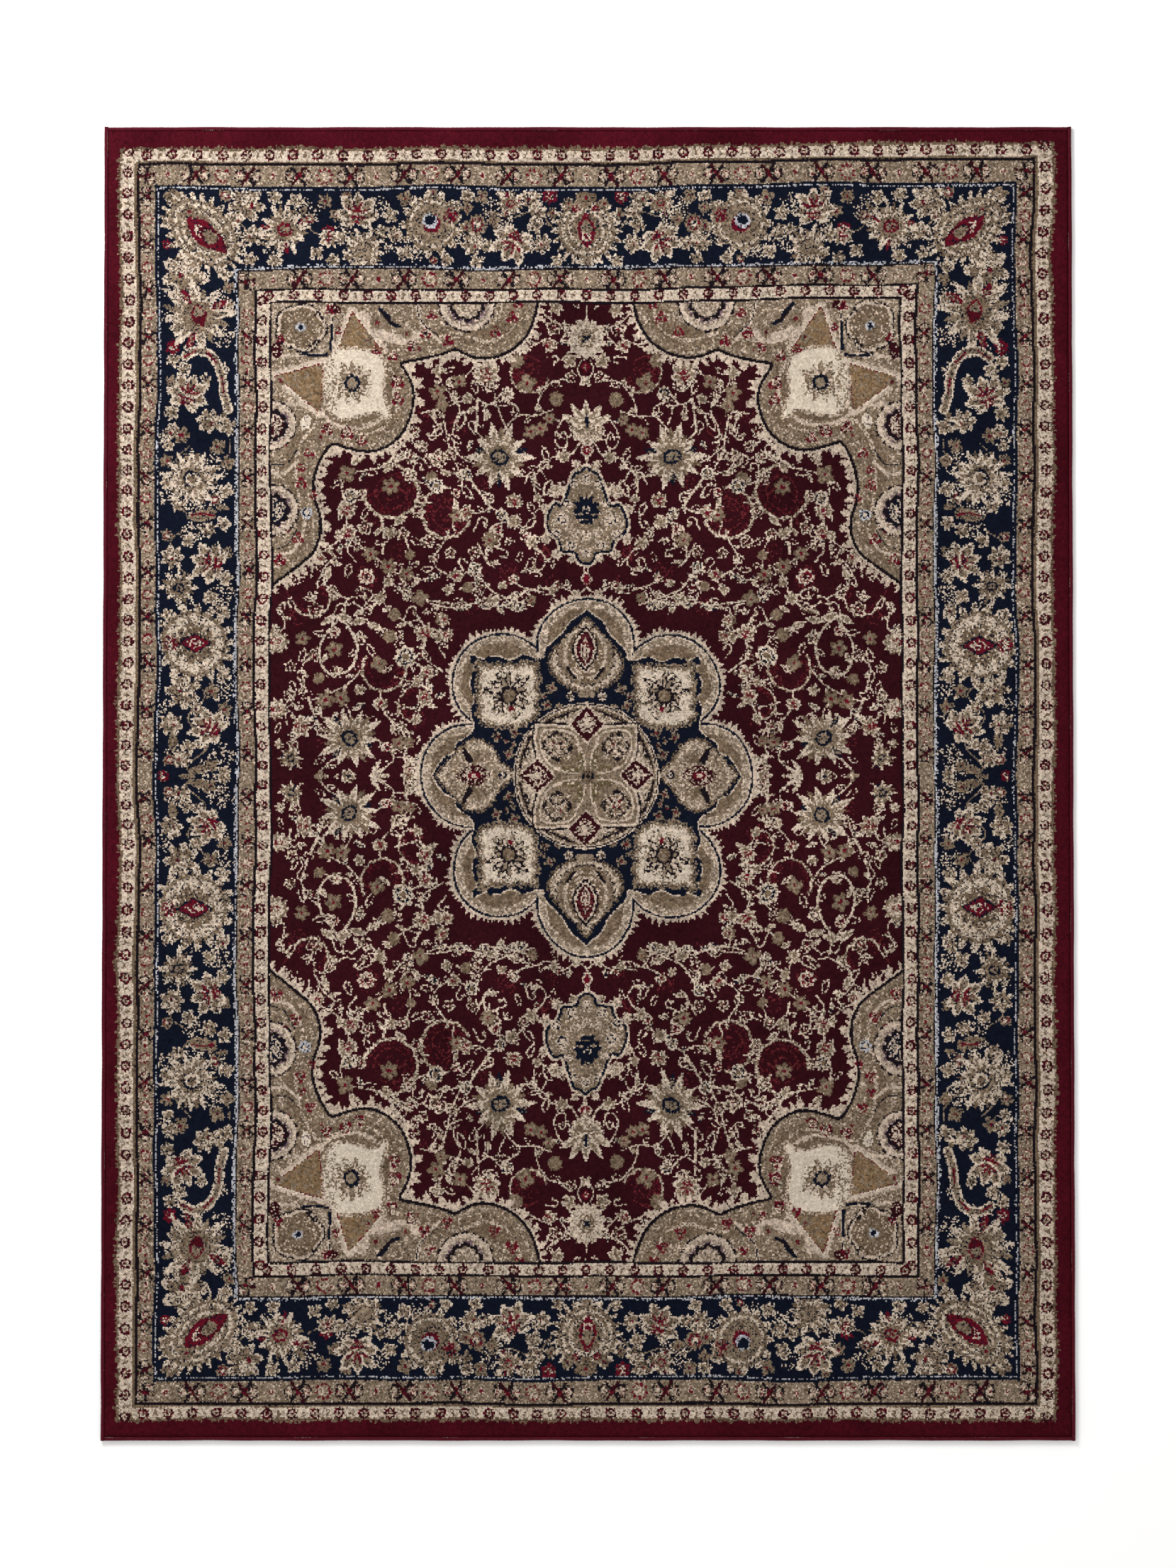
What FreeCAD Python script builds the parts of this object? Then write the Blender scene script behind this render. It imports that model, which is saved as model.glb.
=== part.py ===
"""Machine-woven, cut-pile area rug with a centre medallion, pendants, corner pieces and borders.

The rug lies flat with its back on the plane Z = 0. X runs across the width, Y along the length
and Z up through the pile. The origin is under the middle of the rug. All sizes are millimetres.
"""

import FreeCAD, Part
import os
import Sketcher

PARTS_FOLDER = "parts"

# Driving dimensions. A "side" offset is measured in from a long edge, an "end" offset from a short one.
SIZES = {
    "rug_width": 1700,
    "rug_length": 2300,
    "coat_thick": 0.6,
    "stuffer_thick": 0.9,
    "weft_thick": 1.0,
    "pile_tall": 9.5,
    "serging_wide": 7.5,
    "serging_tall": 9,
    "serging_wall": 1.1,
    "serging_round": 2.8,
    "selvedge_gap": 0.05,
    "selvedge_round": 1.2,
    "side_plain": 29,
    "side_guard": 63.5,
    "side_minor": 96,
    "side_main": 236.5,
    "side_inner_minor": 267.5,
    "side_inner_guard": 296,
    "end_plain": 38,
    "end_guard": 66.5,
    "end_minor": 110,
    "end_main": 249.5,
    "end_inner_minor": 287.5,
    "end_inner_guard": 312,
    "end_lobe_centre": 227,
    "end_lobe_radius": 88,
    "side_lobe_centre": 206,
    "side_lobe_radius": 90,
    "diagonal_lobe_across": 150,
    "diagonal_lobe_along": 162,
    "diagonal_lobe_radius": 87,
    "medallion_core_radius": 205,
    "band_wide": 22,
    "roundel_radius": 126,
    "palmette_radius": 60,
    "palmette_centre": 209,
    "square_size": 104,
    "square_round": 26,
    "square_across": 141,
    "square_along": 141,
    "pendant_centre": 462,
    "pendant_half_tall": 86,
    "pendant_half_wide": 72,
    "pendant_foot_half_wide": 44,
    "pendant_foot_drop": 48,
    "corner_top_lobe_across": 190,
    "corner_top_lobe_radius": 105,
    "corner_big_lobe_across": 405,
    "corner_big_lobe_along": 680,
    "corner_big_lobe_radius": 101,
    "corner_side_lobe_along": 450,
    "corner_side_lobe_radius": 88,
    "corner_upper_fill_along": 740,
    "corner_lower_fill_across": 435,
}

PILE_BASE = "Sizes.coat_thick + Sizes.stuffer_thick + Sizes.weft_thick"
SIDES = {"bottom": 0, "right": 90, "top": 180, "left": 270}
QUARTERS = {"top_left": (-1, 1), "top_right": (1, 1), "bottom_left": (-1, -1), "bottom_right": (1, -1)}
BANDS = ("serging", "plain", "guard", "minor", "main", "inner_minor", "inner_guard")
BAND_NODES = {
    "plain": "plain_band",
    "guard": "outer_guard",
    "minor": "outer_minor_border",
    "main": "main_border",
    "inner_minor": "inner_minor_border",
    "inner_guard": "inner_guard",
}

UP = FreeCAD.Vector(0, 0, 1)
ROOT_POINT = (-1, 1)
ACROSS_AXIS = -1
UPRIGHT_AXIS = -2
START, END = 1, 2

doc = FreeCAD.newDocument("area_rug")
nodes = []


def make_sheet():
    """The spreadsheet that every sketch and placement reads."""
    sheet = doc.addObject("Spreadsheet::Sheet", "Sizes")
    for row, (alias, value) in enumerate(SIZES.items(), start=1):
        sheet.set(f"A{row}", alias)
        sheet.set(f"B{row}", str(value))
        sheet.setAlias(f"B{row}", alias)
    doc.recompute()
    return sheet


def as_node(thing, name):
    """Names a finished sub-part and puts it on the list to be written."""
    thing.Label = name
    nodes.append(thing)
    return thing


def put(thing, across="0", along="0", up="0", turn=0):
    """Places a thing by formulas, after turning it about the upright axis by whole degrees."""
    thing.Placement = FreeCAD.Placement(FreeCAD.Vector(), FreeCAD.Rotation(UP, turn))
    thing.setExpression("Placement.Base.x", f"({across}) * 1 mm")
    thing.setExpression("Placement.Base.y", f"({along}) * 1 mm")
    thing.setExpression("Placement.Base.z", f"({up}) * 1 mm")


def sketch_on(body, plane, name):
    """An empty sketch on one of the body's own origin planes."""
    sketch = body.newObject("Sketcher::SketchObject", name)
    origin_plane = next(item for item in body.Origin.OriginFeatures if item.Role == plane)
    sketch.AttachmentSupport = (origin_plane, "")
    sketch.MapMode = "FlatFace"
    return sketch


def bind(sketch, kind, where, name, formula, start_value):
    """Adds a named size to a sketch and binds it to the spreadsheet."""
    index = sketch.addConstraint(Sketcher.Constraint(kind, *where, start_value))
    sketch.renameConstraint(index, name)
    sketch.setExpression(f"Constraints.{name}", formula)


def add_loop(sketch, points):
    """A closed loop of straight lines through the points; gives back the index of its first line."""
    first = sketch.GeometryCount
    corners = [FreeCAD.Vector(x, y, 0) for x, y in points]
    for here, there in zip(corners, corners[1:] + corners[:1]):
        sketch.addGeometry(Part.LineSegment(here, there), False)
    count = len(corners)
    for index in range(count):
        after = first + (index + 1) % count
        sketch.addConstraint(Sketcher.Constraint("Coincident", first + index, END, after, START))
    return first


def add_rectangle(sketch, name, wide, tall, wide_value, tall_value, centre_up="0"):
    """A rectangle centred across the sketch, with its middle lifted by a formula."""
    half, lift = wide_value / 2, tall_value / 2
    points = [(-half, -lift), (half, -lift), (half, lift), (-half, lift)]
    low = add_loop(sketch, points)
    for line, kind in ((low + 2, "Horizontal"), (low + 1, "Vertical"), (low + 3, "Vertical")):
        sketch.addConstraint(Sketcher.Constraint(kind, line))
    sketch.addConstraint(Sketcher.Constraint("Symmetric", low, START, low, END, UPRIGHT_AXIS))
    bind(sketch, "DistanceX", (low, START, low, END), f"{name}_wide", wide, wide_value)
    bind(sketch, "DistanceY", (low + 1, START, low + 1, END), f"{name}_tall", tall, tall_value)
    bind(sketch, "DistanceY", (low, START), f"{name}_low", f"({centre_up}) - ({tall}) / 2", -lift)
    return low


def pad(body, sketch, depth, both_ways=False):
    """Pads a sketch by a formula, upward or to both sides alike."""
    feature = body.newObject("PartDesign::Pad", f"{body.Name}_pad")
    feature.Profile = sketch
    feature.Midplane = both_ways
    feature.setExpression("Length", depth)
    doc.recompute()
    return feature


def round_edges(body, base, chosen, radius):
    """Rounds the chosen edges of a body by a formula."""
    feature = body.newObject("PartDesign::Fillet", f"{body.Name}_fillet")
    feature.Base = (base, [f"Edge{index}" for index, _ in chosen])
    feature.setExpression("Radius", radius)
    doc.recompute()


def slab(name, thick, up):
    """One layer of the ground, as wide and long as the space inside the serging."""
    body = doc.addObject("PartDesign::Body", name)
    sketch = sketch_on(body, "XY_Plane", f"{name}_sketch")
    wide = "Sizes.rug_width - 2 * Sizes.serging_wide"
    tall = "Sizes.rug_length - 2 * Sizes.serging_wide"
    add_rectangle(sketch, "outline", wide, tall, SIZES["rug_width"], SIZES["rug_length"])
    pad(body, sketch, thick)
    put(body, up=up)
    return as_node(body, name)


def offset_of(band, long_side):
    """The formula for how far a band's inner edge lies from the rug's edge."""
    if band == "serging":
        return "Sizes.serging_wide"
    return f"Sizes.{'side' if long_side else 'end'}_{band}"


def placed_along(body, side, inset, up):
    """Sets a body that was drawn along X, with Y pointing inward, at its side of the rug."""
    half_wide, half_long = "Sizes.rug_width / 2", "Sizes.rug_length / 2"
    reach = {
        "bottom": ("0", f"({inset}) - {half_long}"),
        "top": ("0", f"{half_long} - ({inset})"),
        "right": (f"{half_wide} - ({inset})", "0"),
        "left": (f"({inset}) - {half_wide}", "0"),
    }
    put(body, *reach[side], up=up, turn=SIDES[side])


def band_strip(outer_band, band, side):
    """One mitred strip of border pile: a symmetric trapezoid with its longer edge outward."""
    name = f"{BAND_NODES[band]}_{side}"
    long_side = side in ("left", "right")
    outer, inner = offset_of(outer_band, long_side), offset_of(band, long_side)
    run = "Sizes.rug_length" if long_side else "Sizes.rug_width"
    outer_cut, inner_cut = offset_of(outer_band, not long_side), offset_of(band, not long_side)
    body = doc.addObject("PartDesign::Body", name)
    sketch = sketch_on(body, "XY_Plane", f"{name}_sketch")
    half = SIZES["rug_width"] / 3
    deep = SIZES["pile_tall"]
    low = add_loop(sketch, [(-half, 0), (half, 0), (half - deep, deep), (deep - half, deep)])
    sketch.addConstraint(Sketcher.Constraint("Symmetric", low, START, low, END, *ROOT_POINT))
    sketch.addConstraint(Sketcher.Constraint("Horizontal", low))
    sketch.addConstraint(Sketcher.Constraint("Symmetric", low + 2, START, low + 2, END, UPRIGHT_AXIS))
    bind(sketch, "DistanceX", (low, START, low, END), "outer_run", f"{run} - 2 * {outer_cut}", 2 * half)
    inner_value = 2 * (half - deep)
    bind(sketch, "DistanceX", (low + 2, END, low + 2, START), "inner_run",
         f"{run} - 2 * {inner_cut}", inner_value)
    bind(sketch, "DistanceY", (low + 2, START), "band_wide", f"{inner} - {outer}", deep)
    pad(body, sketch, "Sizes.pile_tall")
    placed_along(body, side, outer, PILE_BASE)
    return as_node(body, name)


def edge_bar(name, side, wide, tall, run, rounding, hollow):
    """A bar along one side of the rug: the wrapped serging, or the ground's edge inside it."""
    body = doc.addObject("PartDesign::Body", name)
    sketch = sketch_on(body, "YZ_Plane", f"{name}_sketch")
    middle = "Sizes.serging_tall / 2"
    add_rectangle(sketch, "outer", wide, tall, SIZES["serging_wide"], SIZES["serging_tall"], middle)
    if hollow:
        wall = SIZES["serging_wall"]
        inner_wide, inner_tall = SIZES["serging_wide"] - 2 * wall, SIZES["serging_tall"] - 2 * wall
        add_rectangle(sketch, "inner", f"({wide}) - 2 * Sizes.serging_wall",
                      f"({tall}) - 2 * Sizes.serging_wall", inner_wide, inner_tall, middle)
    bar = pad(body, sketch, run, both_ways=True)
    long_edges = [(index, edge) for index, edge in enumerate(bar.Shape.Edges, start=1)
                  if edge.Length > SIZES["rug_width"] / 2]
    long_edges.sort(key=lambda pair: -abs(pair[1].CenterOfMass.y))
    round_edges(body, bar, long_edges[:4], rounding)
    placed_along(body, side, "Sizes.serging_wide / 2", "0")
    return as_node(body, name)


def edge_pair(side):
    """The serging on one side and the edge of the ground that it wraps."""
    long_side = side in ("left", "right")
    run = "Sizes.rug_length" if long_side else "Sizes.rug_width - 2 * Sizes.serging_wide"
    edge_bar(f"serging_{side}", side, "Sizes.serging_wide", "Sizes.serging_tall", run,
             "Sizes.serging_round", hollow=True)
    core = "selvedge" if long_side else "turned_end"
    shrink = "2 * (Sizes.serging_wall + Sizes.selvedge_gap)"
    edge_bar(f"{core}_{side}", side, f"Sizes.serging_wide - {shrink}", f"Sizes.serging_tall - {shrink}",
             run, "Sizes.selvedge_round", hollow=False)


def disc(name, radius, across="0", along="0"):
    """An upright disc of full pile height."""
    piece = doc.addObject("Part::Cylinder", name)
    piece.setExpression("Radius", radius)
    piece.setExpression("Height", "Sizes.pile_tall")
    put(piece, across, along, PILE_BASE)
    return piece


def block(name, low_across, low_along, wide, tall):
    """A block of full pile height, given by its low corner and its size."""
    piece = doc.addObject("Part::Box", name)
    piece.setExpression("Length", wide)
    piece.setExpression("Width", tall)
    piece.setExpression("Height", "Sizes.pile_tall")
    put(piece, low_across, low_along, PILE_BASE)
    return piece


def joined(name, pieces):
    """One solid from several overlapping ones."""
    fused = doc.addObject("Part::MultiFuse", name)
    fused.Shapes = pieces
    fused.Refine = True
    return fused


def less(name, base, tool):
    """A solid with another taken away."""
    cut = doc.addObject("Part::Cut", name)
    cut.Base = base
    cut.Tool = tool
    cut.Refine = True
    return cut


def shared(name, base, tool):
    """The space that two solids share."""
    common = doc.addObject("Part::Common", name)
    common.Base = base
    common.Tool = tool
    common.Refine = True
    return common


def lobed_outline(name, inset):
    """The eight-lobed outline of the medallion, drawn in from its edge by a formula."""
    lobes = [disc(f"{name}_core", f"Sizes.medallion_core_radius - ({inset})")]
    for sign in (-1, 1):
        lobes.append(disc(f"{name}_end_lobe", f"Sizes.end_lobe_radius - ({inset})",
                          along=f"{sign} * Sizes.end_lobe_centre"))
        lobes.append(disc(f"{name}_side_lobe", f"Sizes.side_lobe_radius - ({inset})",
                          across=f"{sign} * Sizes.side_lobe_centre"))
    for x_sign, y_sign in QUARTERS.values():
        lobes.append(disc(f"{name}_diagonal_lobe", f"Sizes.diagonal_lobe_radius - ({inset})",
                          f"{x_sign} * Sizes.diagonal_lobe_across", f"{y_sign} * Sizes.diagonal_lobe_along"))
    return joined(name, lobes)


def quarter_block(name, x_sign, y_sign):
    """The quarter of the field that lies on the given sides of the rug's middle."""
    wide = "(Sizes.rug_width / 2 - Sizes.side_inner_guard)"
    tall = "(Sizes.rug_length / 2 - Sizes.end_inner_guard)"
    low_across = "0" if x_sign > 0 else f"-{wide}"
    low_along = "0" if y_sign > 0 else f"-{tall}"
    return block(name, low_across, low_along, wide, tall)


def square_flower(name, x_sign, y_sign):
    """A square of pile with rounded corners on one diagonal of the medallion."""
    body = doc.addObject("PartDesign::Body", name)
    sketch = sketch_on(body, "XY_Plane", f"{name}_sketch")
    size = SIZES["square_size"]
    add_rectangle(sketch, "outline", "Sizes.square_size", "Sizes.square_size", size, size)
    base = pad(body, sketch, "Sizes.pile_tall")
    upright = [(index, edge) for index, edge in enumerate(base.Shape.Edges, start=1)
               if abs(edge.tangentAt(edge.FirstParameter).z) > 0.5]
    round_edges(body, base, upright, "Sizes.square_round")
    put(body, f"{x_sign} * Sizes.square_across", f"{y_sign} * Sizes.square_along", PILE_BASE)
    return as_node(body, name)


def pendant(name, y_sign):
    """A six-sided pendant: pointed away from the medallion, with a narrower foot towards it."""
    body = doc.addObject("PartDesign::Body", name)
    sketch = sketch_on(body, "XY_Plane", f"{name}_sketch")
    tall, wide = SIZES["pendant_half_tall"], SIZES["pendant_half_wide"]
    foot, drop = SIZES["pendant_foot_half_wide"], SIZES["pendant_foot_drop"]
    points = [(0, tall), (-wide, 0), (-foot, -drop), (0, -tall), (foot, -drop), (wide, 0)]
    low = add_loop(sketch, points)
    for index in (0, 3):
        sketch.addConstraint(Sketcher.Constraint("PointOnObject", low + index, START, UPRIGHT_AXIS))
    sketch.addConstraint(Sketcher.Constraint("PointOnObject", low + 1, START, ACROSS_AXIS))
    sketch.addConstraint(
        Sketcher.Constraint("Symmetric", low + 1, START, low + 5, START, UPRIGHT_AXIS))
    sketch.addConstraint(
        Sketcher.Constraint("Symmetric", low + 2, START, low + 4, START, UPRIGHT_AXIS))
    bind(sketch, "DistanceY", (*ROOT_POINT, low, START), "top_reach", "Sizes.pendant_half_tall", tall)
    bind(sketch, "DistanceY", (low + 3, START, *ROOT_POINT), "foot_reach", "Sizes.pendant_half_tall", tall)
    bind(sketch, "DistanceX", (low + 1, START, low + 5, START), "shoulders",
         "2 * Sizes.pendant_half_wide", 2 * wide)
    bind(sketch, "DistanceX", (low + 2, START, low + 4, START), "foot_wide",
         "2 * Sizes.pendant_foot_half_wide", 2 * foot)
    bind(sketch, "DistanceY", (low + 2, START, *ROOT_POINT), "foot_drop", "Sizes.pendant_foot_drop", drop)
    pad(body, sketch, "Sizes.pile_tall")
    put(body, "0", f"{y_sign} * Sizes.pendant_centre", PILE_BASE, turn=0 if y_sign > 0 else 180)
    return as_node(body, name)


def corner_piece(name, x_sign, y_sign):
    """A lobed corner piece of the field: two half lobes on the borders and a large one between."""
    half_wide = "(Sizes.rug_width / 2 - Sizes.side_inner_guard)"
    half_long = "(Sizes.rug_length / 2 - Sizes.end_inner_guard)"
    lobes = [
        disc(f"{name}_end_lobe", "Sizes.corner_top_lobe_radius",
             f"{x_sign} * Sizes.corner_top_lobe_across", f"{y_sign} * {half_long}"),
        disc(f"{name}_big_lobe", "Sizes.corner_big_lobe_radius",
             f"{x_sign} * Sizes.corner_big_lobe_across", f"{y_sign} * Sizes.corner_big_lobe_along"),
        disc(f"{name}_side_lobe", "Sizes.corner_side_lobe_radius",
             f"{x_sign} * {half_wide}", f"{y_sign} * Sizes.corner_side_lobe_along"),
    ]
    for part_name, inner_x, inner_y in (
        ("upper", "Sizes.corner_top_lobe_across", "Sizes.corner_upper_fill_along"),
        ("lower", "Sizes.corner_lower_fill_across", "Sizes.corner_side_lobe_along"),
    ):
        wide, tall = f"({half_wide} - ({inner_x}))", f"({half_long} - ({inner_y}))"
        low_across = f"({inner_x})" if x_sign > 0 else f"-{half_wide}"
        low_along = f"({inner_y})" if y_sign > 0 else f"-{half_long}"
        lobes.append(block(f"{name}_{part_name}_fill", low_across, low_along, wide, tall))
    field_corner = quarter_block(f"{name}_limit", x_sign, y_sign)
    return as_node(shared(name, joined(f"{name}_lobes", lobes), field_corner), name)


def medallion():
    """The centre medallion's pieces; gives back its outline for the field to be cut by."""
    outline = lobed_outline("medallion_outline", "0")
    inner = lobed_outline("medallion_inner", "Sizes.band_wide")
    band = less("medallion_band_whole", outline, inner)
    for quarter, signs in QUARTERS.items():
        limit = quarter_block(f"band_limit_{quarter}", *signs)
        as_node(shared(f"medallion_band_{quarter}", band, limit), f"medallion_band_{quarter}")
    roundel = as_node(disc("medallion_roundel", "Sizes.roundel_radius"), "medallion_roundel")
    set_in = [roundel]
    for side, turn in SIDES.items():
        sign = 1 if side in ("top", "right") else -1
        reach = f"{sign} * Sizes.palmette_centre"
        across, along = (reach, "0") if turn % 180 else ("0", reach)
        name = f"medallion_palmette_{side}"
        set_in.append(as_node(disc(name, "Sizes.palmette_radius", across, along), name))
    for quarter, signs in QUARTERS.items():
        set_in.append(square_flower(f"medallion_square_{quarter}", *signs))
    ground = less("medallion_ground_whole", inner, joined("medallion_set_in", set_in))
    half_wide, half_long = "Sizes.rug_width / 2", "Sizes.rug_length / 2"
    for half, low in (("left", f"-{half_wide}"), ("right", "0")):
        limit = block(f"ground_limit_{half}", low, f"-{half_long}", half_wide, "Sizes.rug_length")
        name = f"medallion_ground_{half}"
        as_node(shared(name, ground, limit), name)
    return outline


def pile():
    """Every area of pile, from the outer bands to the middle of the field."""
    for outer_band, band in zip(BANDS, BANDS[1:]):
        for side in SIDES:
            band_strip(outer_band, band, side)
    cutters = [medallion(), pendant("pendant_top", 1), pendant("pendant_bottom", -1)]
    for quarter, signs in QUARTERS.items():
        cutters.append(corner_piece(f"corner_piece_{quarter}", *signs))
    cutter = joined("field_cutters", cutters)
    for quarter, signs in QUARTERS.items():
        name = f"field_{quarter}"
        whole = quarter_block(f"{name}_whole", *signs)
        as_node(less(name, whole, cutter), name)


def ground():
    """The back: a coat of size, the stuffer warps and the wefts that hold the pile."""
    slab("back_size_coat", "Sizes.coat_thick", "0")
    slab("stuffer_warp_layer", "Sizes.stuffer_thick", "Sizes.coat_thick")
    slab("weft_ground_layer", "Sizes.weft_thick", "Sizes.coat_thick + Sizes.stuffer_thick")


def check_document():
    """Stops unless every object computed and every sub-part is a sound solid."""
    doc.recompute()
    for thing in doc.Objects:
        if {"Invalid", "Error"} & set(thing.State):
            raise RuntimeError(f"{thing.Label} did not compute: {thing.State}")
    for node in nodes:
        if node.Shape.isNull() or not node.Shape.isValid() or not node.Shape.Solids:
            raise RuntimeError(f"{node.Label} is not a sound solid")


def write_parts():
    """Writes each sub-part to a file of its own name."""
    os.makedirs(PARTS_FOLDER, exist_ok=True)
    for node in nodes:
        node.Shape.exportStep(os.path.join(PARTS_FOLDER, f"{node.Label}.step"))
        print(node.Label, len(node.Shape.Solids), "solid", round(node.Shape.Volume / 1000), "cm3")


make_sheet()
ground()
for rug_side in SIDES:
    edge_pair(rug_side)
pile()
check_document()
write_parts()
print(len(nodes), "sub-parts")
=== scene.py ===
"""The looks of a power-loomed area rug, 1.7 by 2.3 m: a drawn pattern, knotted into cut pile.

The pattern is drawn once, as one quarter, in millimetres from the middle of the rug. Each tuft of
the pile then takes its colour and height from the place in the drawing that it stands on.
"""
import math

import bmesh
import bpy
import numpy as np
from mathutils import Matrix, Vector


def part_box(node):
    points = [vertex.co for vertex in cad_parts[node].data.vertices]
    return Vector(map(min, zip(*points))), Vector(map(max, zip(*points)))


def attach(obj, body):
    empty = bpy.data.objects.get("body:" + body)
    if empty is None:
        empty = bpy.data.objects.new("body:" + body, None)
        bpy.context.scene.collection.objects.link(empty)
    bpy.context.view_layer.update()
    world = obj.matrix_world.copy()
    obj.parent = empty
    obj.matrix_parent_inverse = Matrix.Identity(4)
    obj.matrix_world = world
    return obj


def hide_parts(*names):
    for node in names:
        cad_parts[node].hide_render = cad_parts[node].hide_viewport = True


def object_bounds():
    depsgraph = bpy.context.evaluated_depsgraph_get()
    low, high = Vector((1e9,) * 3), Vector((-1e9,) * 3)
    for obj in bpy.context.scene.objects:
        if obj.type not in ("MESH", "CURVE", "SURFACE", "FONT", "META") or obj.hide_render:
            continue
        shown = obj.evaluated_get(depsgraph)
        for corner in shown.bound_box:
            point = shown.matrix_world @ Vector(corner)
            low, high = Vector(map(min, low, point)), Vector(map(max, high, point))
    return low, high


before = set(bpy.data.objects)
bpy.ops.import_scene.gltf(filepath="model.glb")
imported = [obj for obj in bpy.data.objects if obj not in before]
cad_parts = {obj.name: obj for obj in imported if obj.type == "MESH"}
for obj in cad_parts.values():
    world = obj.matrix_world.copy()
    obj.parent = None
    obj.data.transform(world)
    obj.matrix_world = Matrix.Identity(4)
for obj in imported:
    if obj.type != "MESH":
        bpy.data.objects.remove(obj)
cad_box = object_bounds()

MM = 0.001
random = np.random.default_rng(20)

HALF_WIDE = round(cad_box[1].x / MM)
HALF_LONG = round(cad_box[1].y / MM)
BANDS = (
    "plain_band", "outer_guard", "outer_minor_border", "main_border", "inner_minor_border", "inner_guard")
QUARTERS = {"top_right": (1, 1), "top_left": (-1, 1), "bottom_right": (1, -1), "bottom_left": (-1, -1)}


def outer_lines(across_node, along_node):
    """How far in from the long edges, and from the ends, two nodes' outer edges lie."""
    return (HALF_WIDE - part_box(across_node)[1].x / MM, HALF_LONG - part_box(along_node)[1].y / MM)


BAND_STARTS = {band: outer_lines(f"{band}_right", f"{band}_top") for band in BANDS}
BAND_STARTS["field"] = outer_lines("field_top_right", "field_top_right")

# --- The drawing: one quarter of the rug, mirrored to all four -------------------------------------

(BURGUNDY, NAVY, OUTLINE, WHITE, CREAM, BEIGE, TAN, GOLD, RED, ROSE, SCARLET, OLIVE, MAUVE, IVORY,
 GARNET) = range(15)

quarter = np.full((int(HALF_LONG), int(HALF_WIDE)), BURGUNDY, np.uint8)
ROWS, COLUMNS = np.mgrid[0:quarter.shape[0], 0:quarter.shape[1]] + 0.5


def window(x, y, reach):
    """The part of the quarter within reach of a point, and the distances across and along from it."""
    low_row, low_column = max(int(y - reach), 0), max(int(x - reach), 0)
    area = (slice(low_row, max(int(y + reach) + 1, 0)), slice(low_column, max(int(x + reach) + 1, 0)))
    return area, COLUMNS[area] - x, ROWS[area] - y


STRAY = random.normal(0, 0.75, (2, quarter.shape[0] // 2 + 1, quarter.shape[1] // 2 + 1))
STRAY = STRAY.repeat(2, 1).repeat(2, 2)[:, :quarter.shape[0], :quarter.shape[1]]


def stamp(x, y, size, turn, layers):
    """Draws a motif's layers, each a shape in the motif's own frame and a colour, one over the other."""
    area, across, along = window(x, y, 1.6 * size)
    across, along = across + STRAY[0][area], along + STRAY[1][area]
    cos, sin = math.cos(math.radians(turn)), math.sin(math.radians(turn))
    u = (cos * across + sin * along) / size
    v = (cos * along - sin * across) / size
    for shape, colour in layers:
        quarter[area][shape(u, v)] = colour


def oval(wide, tall, x=0.0, y=0.0):
    return lambda u, v: ((u - x) / wide) ** 2 + ((v - y) / tall) ** 2 < 1


def hoop(wide, tall, thick, x=0.0, y=0.0):
    """An oval ring, thick as a share of its radius."""
    def shape(u, v):
        reach = np.hypot((u - x) / wide, (v - y) / tall)
        return (reach < 1) & (reach > 1 - thick)
    return shape


def petals(count, outer, inner, sharp=1.0, phase=0.0):
    """A flower outline: the edge swings from inner to outer once for each petal."""
    def shape(u, v):
        swing = np.abs(np.cos((np.arctan2(u, v) - phase) * count / 2)) ** sharp
        return np.hypot(u, v) < inner + (outer - inner) * swing
    return shape


def leaf(tall, wide, x=0.0, y=0.0, turn=0.0, hollow=0.0):
    """A pointed leaf that starts at a point and runs outward; hollow leaves only its edge."""
    cos, sin = math.cos(math.radians(turn)), math.sin(math.radians(turn))
    def shape(u, v):
        over = cos * (u - x) + sin * (v - y)
        up = (cos * (v - y) - sin * (u - x)) / tall
        fill = 4 * wide * up * (1 - up)
        inside = (up > 0) & (up < 1) & (np.abs(over) < fill)
        return inside & (np.abs(over) > fill - hollow) if hollow else inside
    return shape


def bar(x0, y0, x1, y1, thick):
    """A straight stroke between two points."""
    run_x, run_y = x1 - x0, y1 - y0
    def shape(u, v):
        share = np.clip(((u - x0) * run_x + (v - y0) * run_y) / (run_x ** 2 + run_y ** 2), 0, 1)
        return np.hypot(u - x0 - share * run_x, v - y0 - share * run_y) < thick
    return shape


def both(first, second):
    return lambda u, v: first(u, v) & second(u, v)


def speckle(u, v, share):
    """A mottle of single knots, the same for the same place."""
    mix = np.sin(np.floor(u * 23) * 12.9898 + np.floor(v * 23) * 78.233) * 43758.5453
    return mix - np.floor(mix) < share


def grains(shape, share):
    """A shape with only some of its knots."""
    return lambda u, v: shape(u, v) & speckle(u, v, share)


def spokes(count, outer, inner, thick, phase=0.0):
    """Fine lines that run out from the middle, like the veins of petals."""
    def shape(u, v):
        reach = np.hypot(u, v)
        swing = np.abs(np.sin((np.arctan2(u, v) - phase) * count / 2))
        return (reach < outer) & (reach > inner) & (swing * reach < thick)
    return shape


def flower(x, y, size, turn=0, count=5, petal=CREAM, heart=RED, ring=TAN):
    """A small flower: pale petal tips, a darker middle and a heart. No two places draw it quite alike."""
    own = math.sin(x * 12.9 + y * 7.7)
    count, phase = count + round(own), 3 * own
    stamp(x, y, size, turn, [
        (petals(count, 1.05, 0.58, 0.9, phase), petal),
        (grains(petals(count, 0.8, 0.42, 0.9, phase), 0.75), ring),
        (grains(petals(count, 0.95, 0.55, 0.9, phase), 0.2), BEIGE),
        (oval(0.2 + 0.06 * own, 0.22), heart),
    ])


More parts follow.
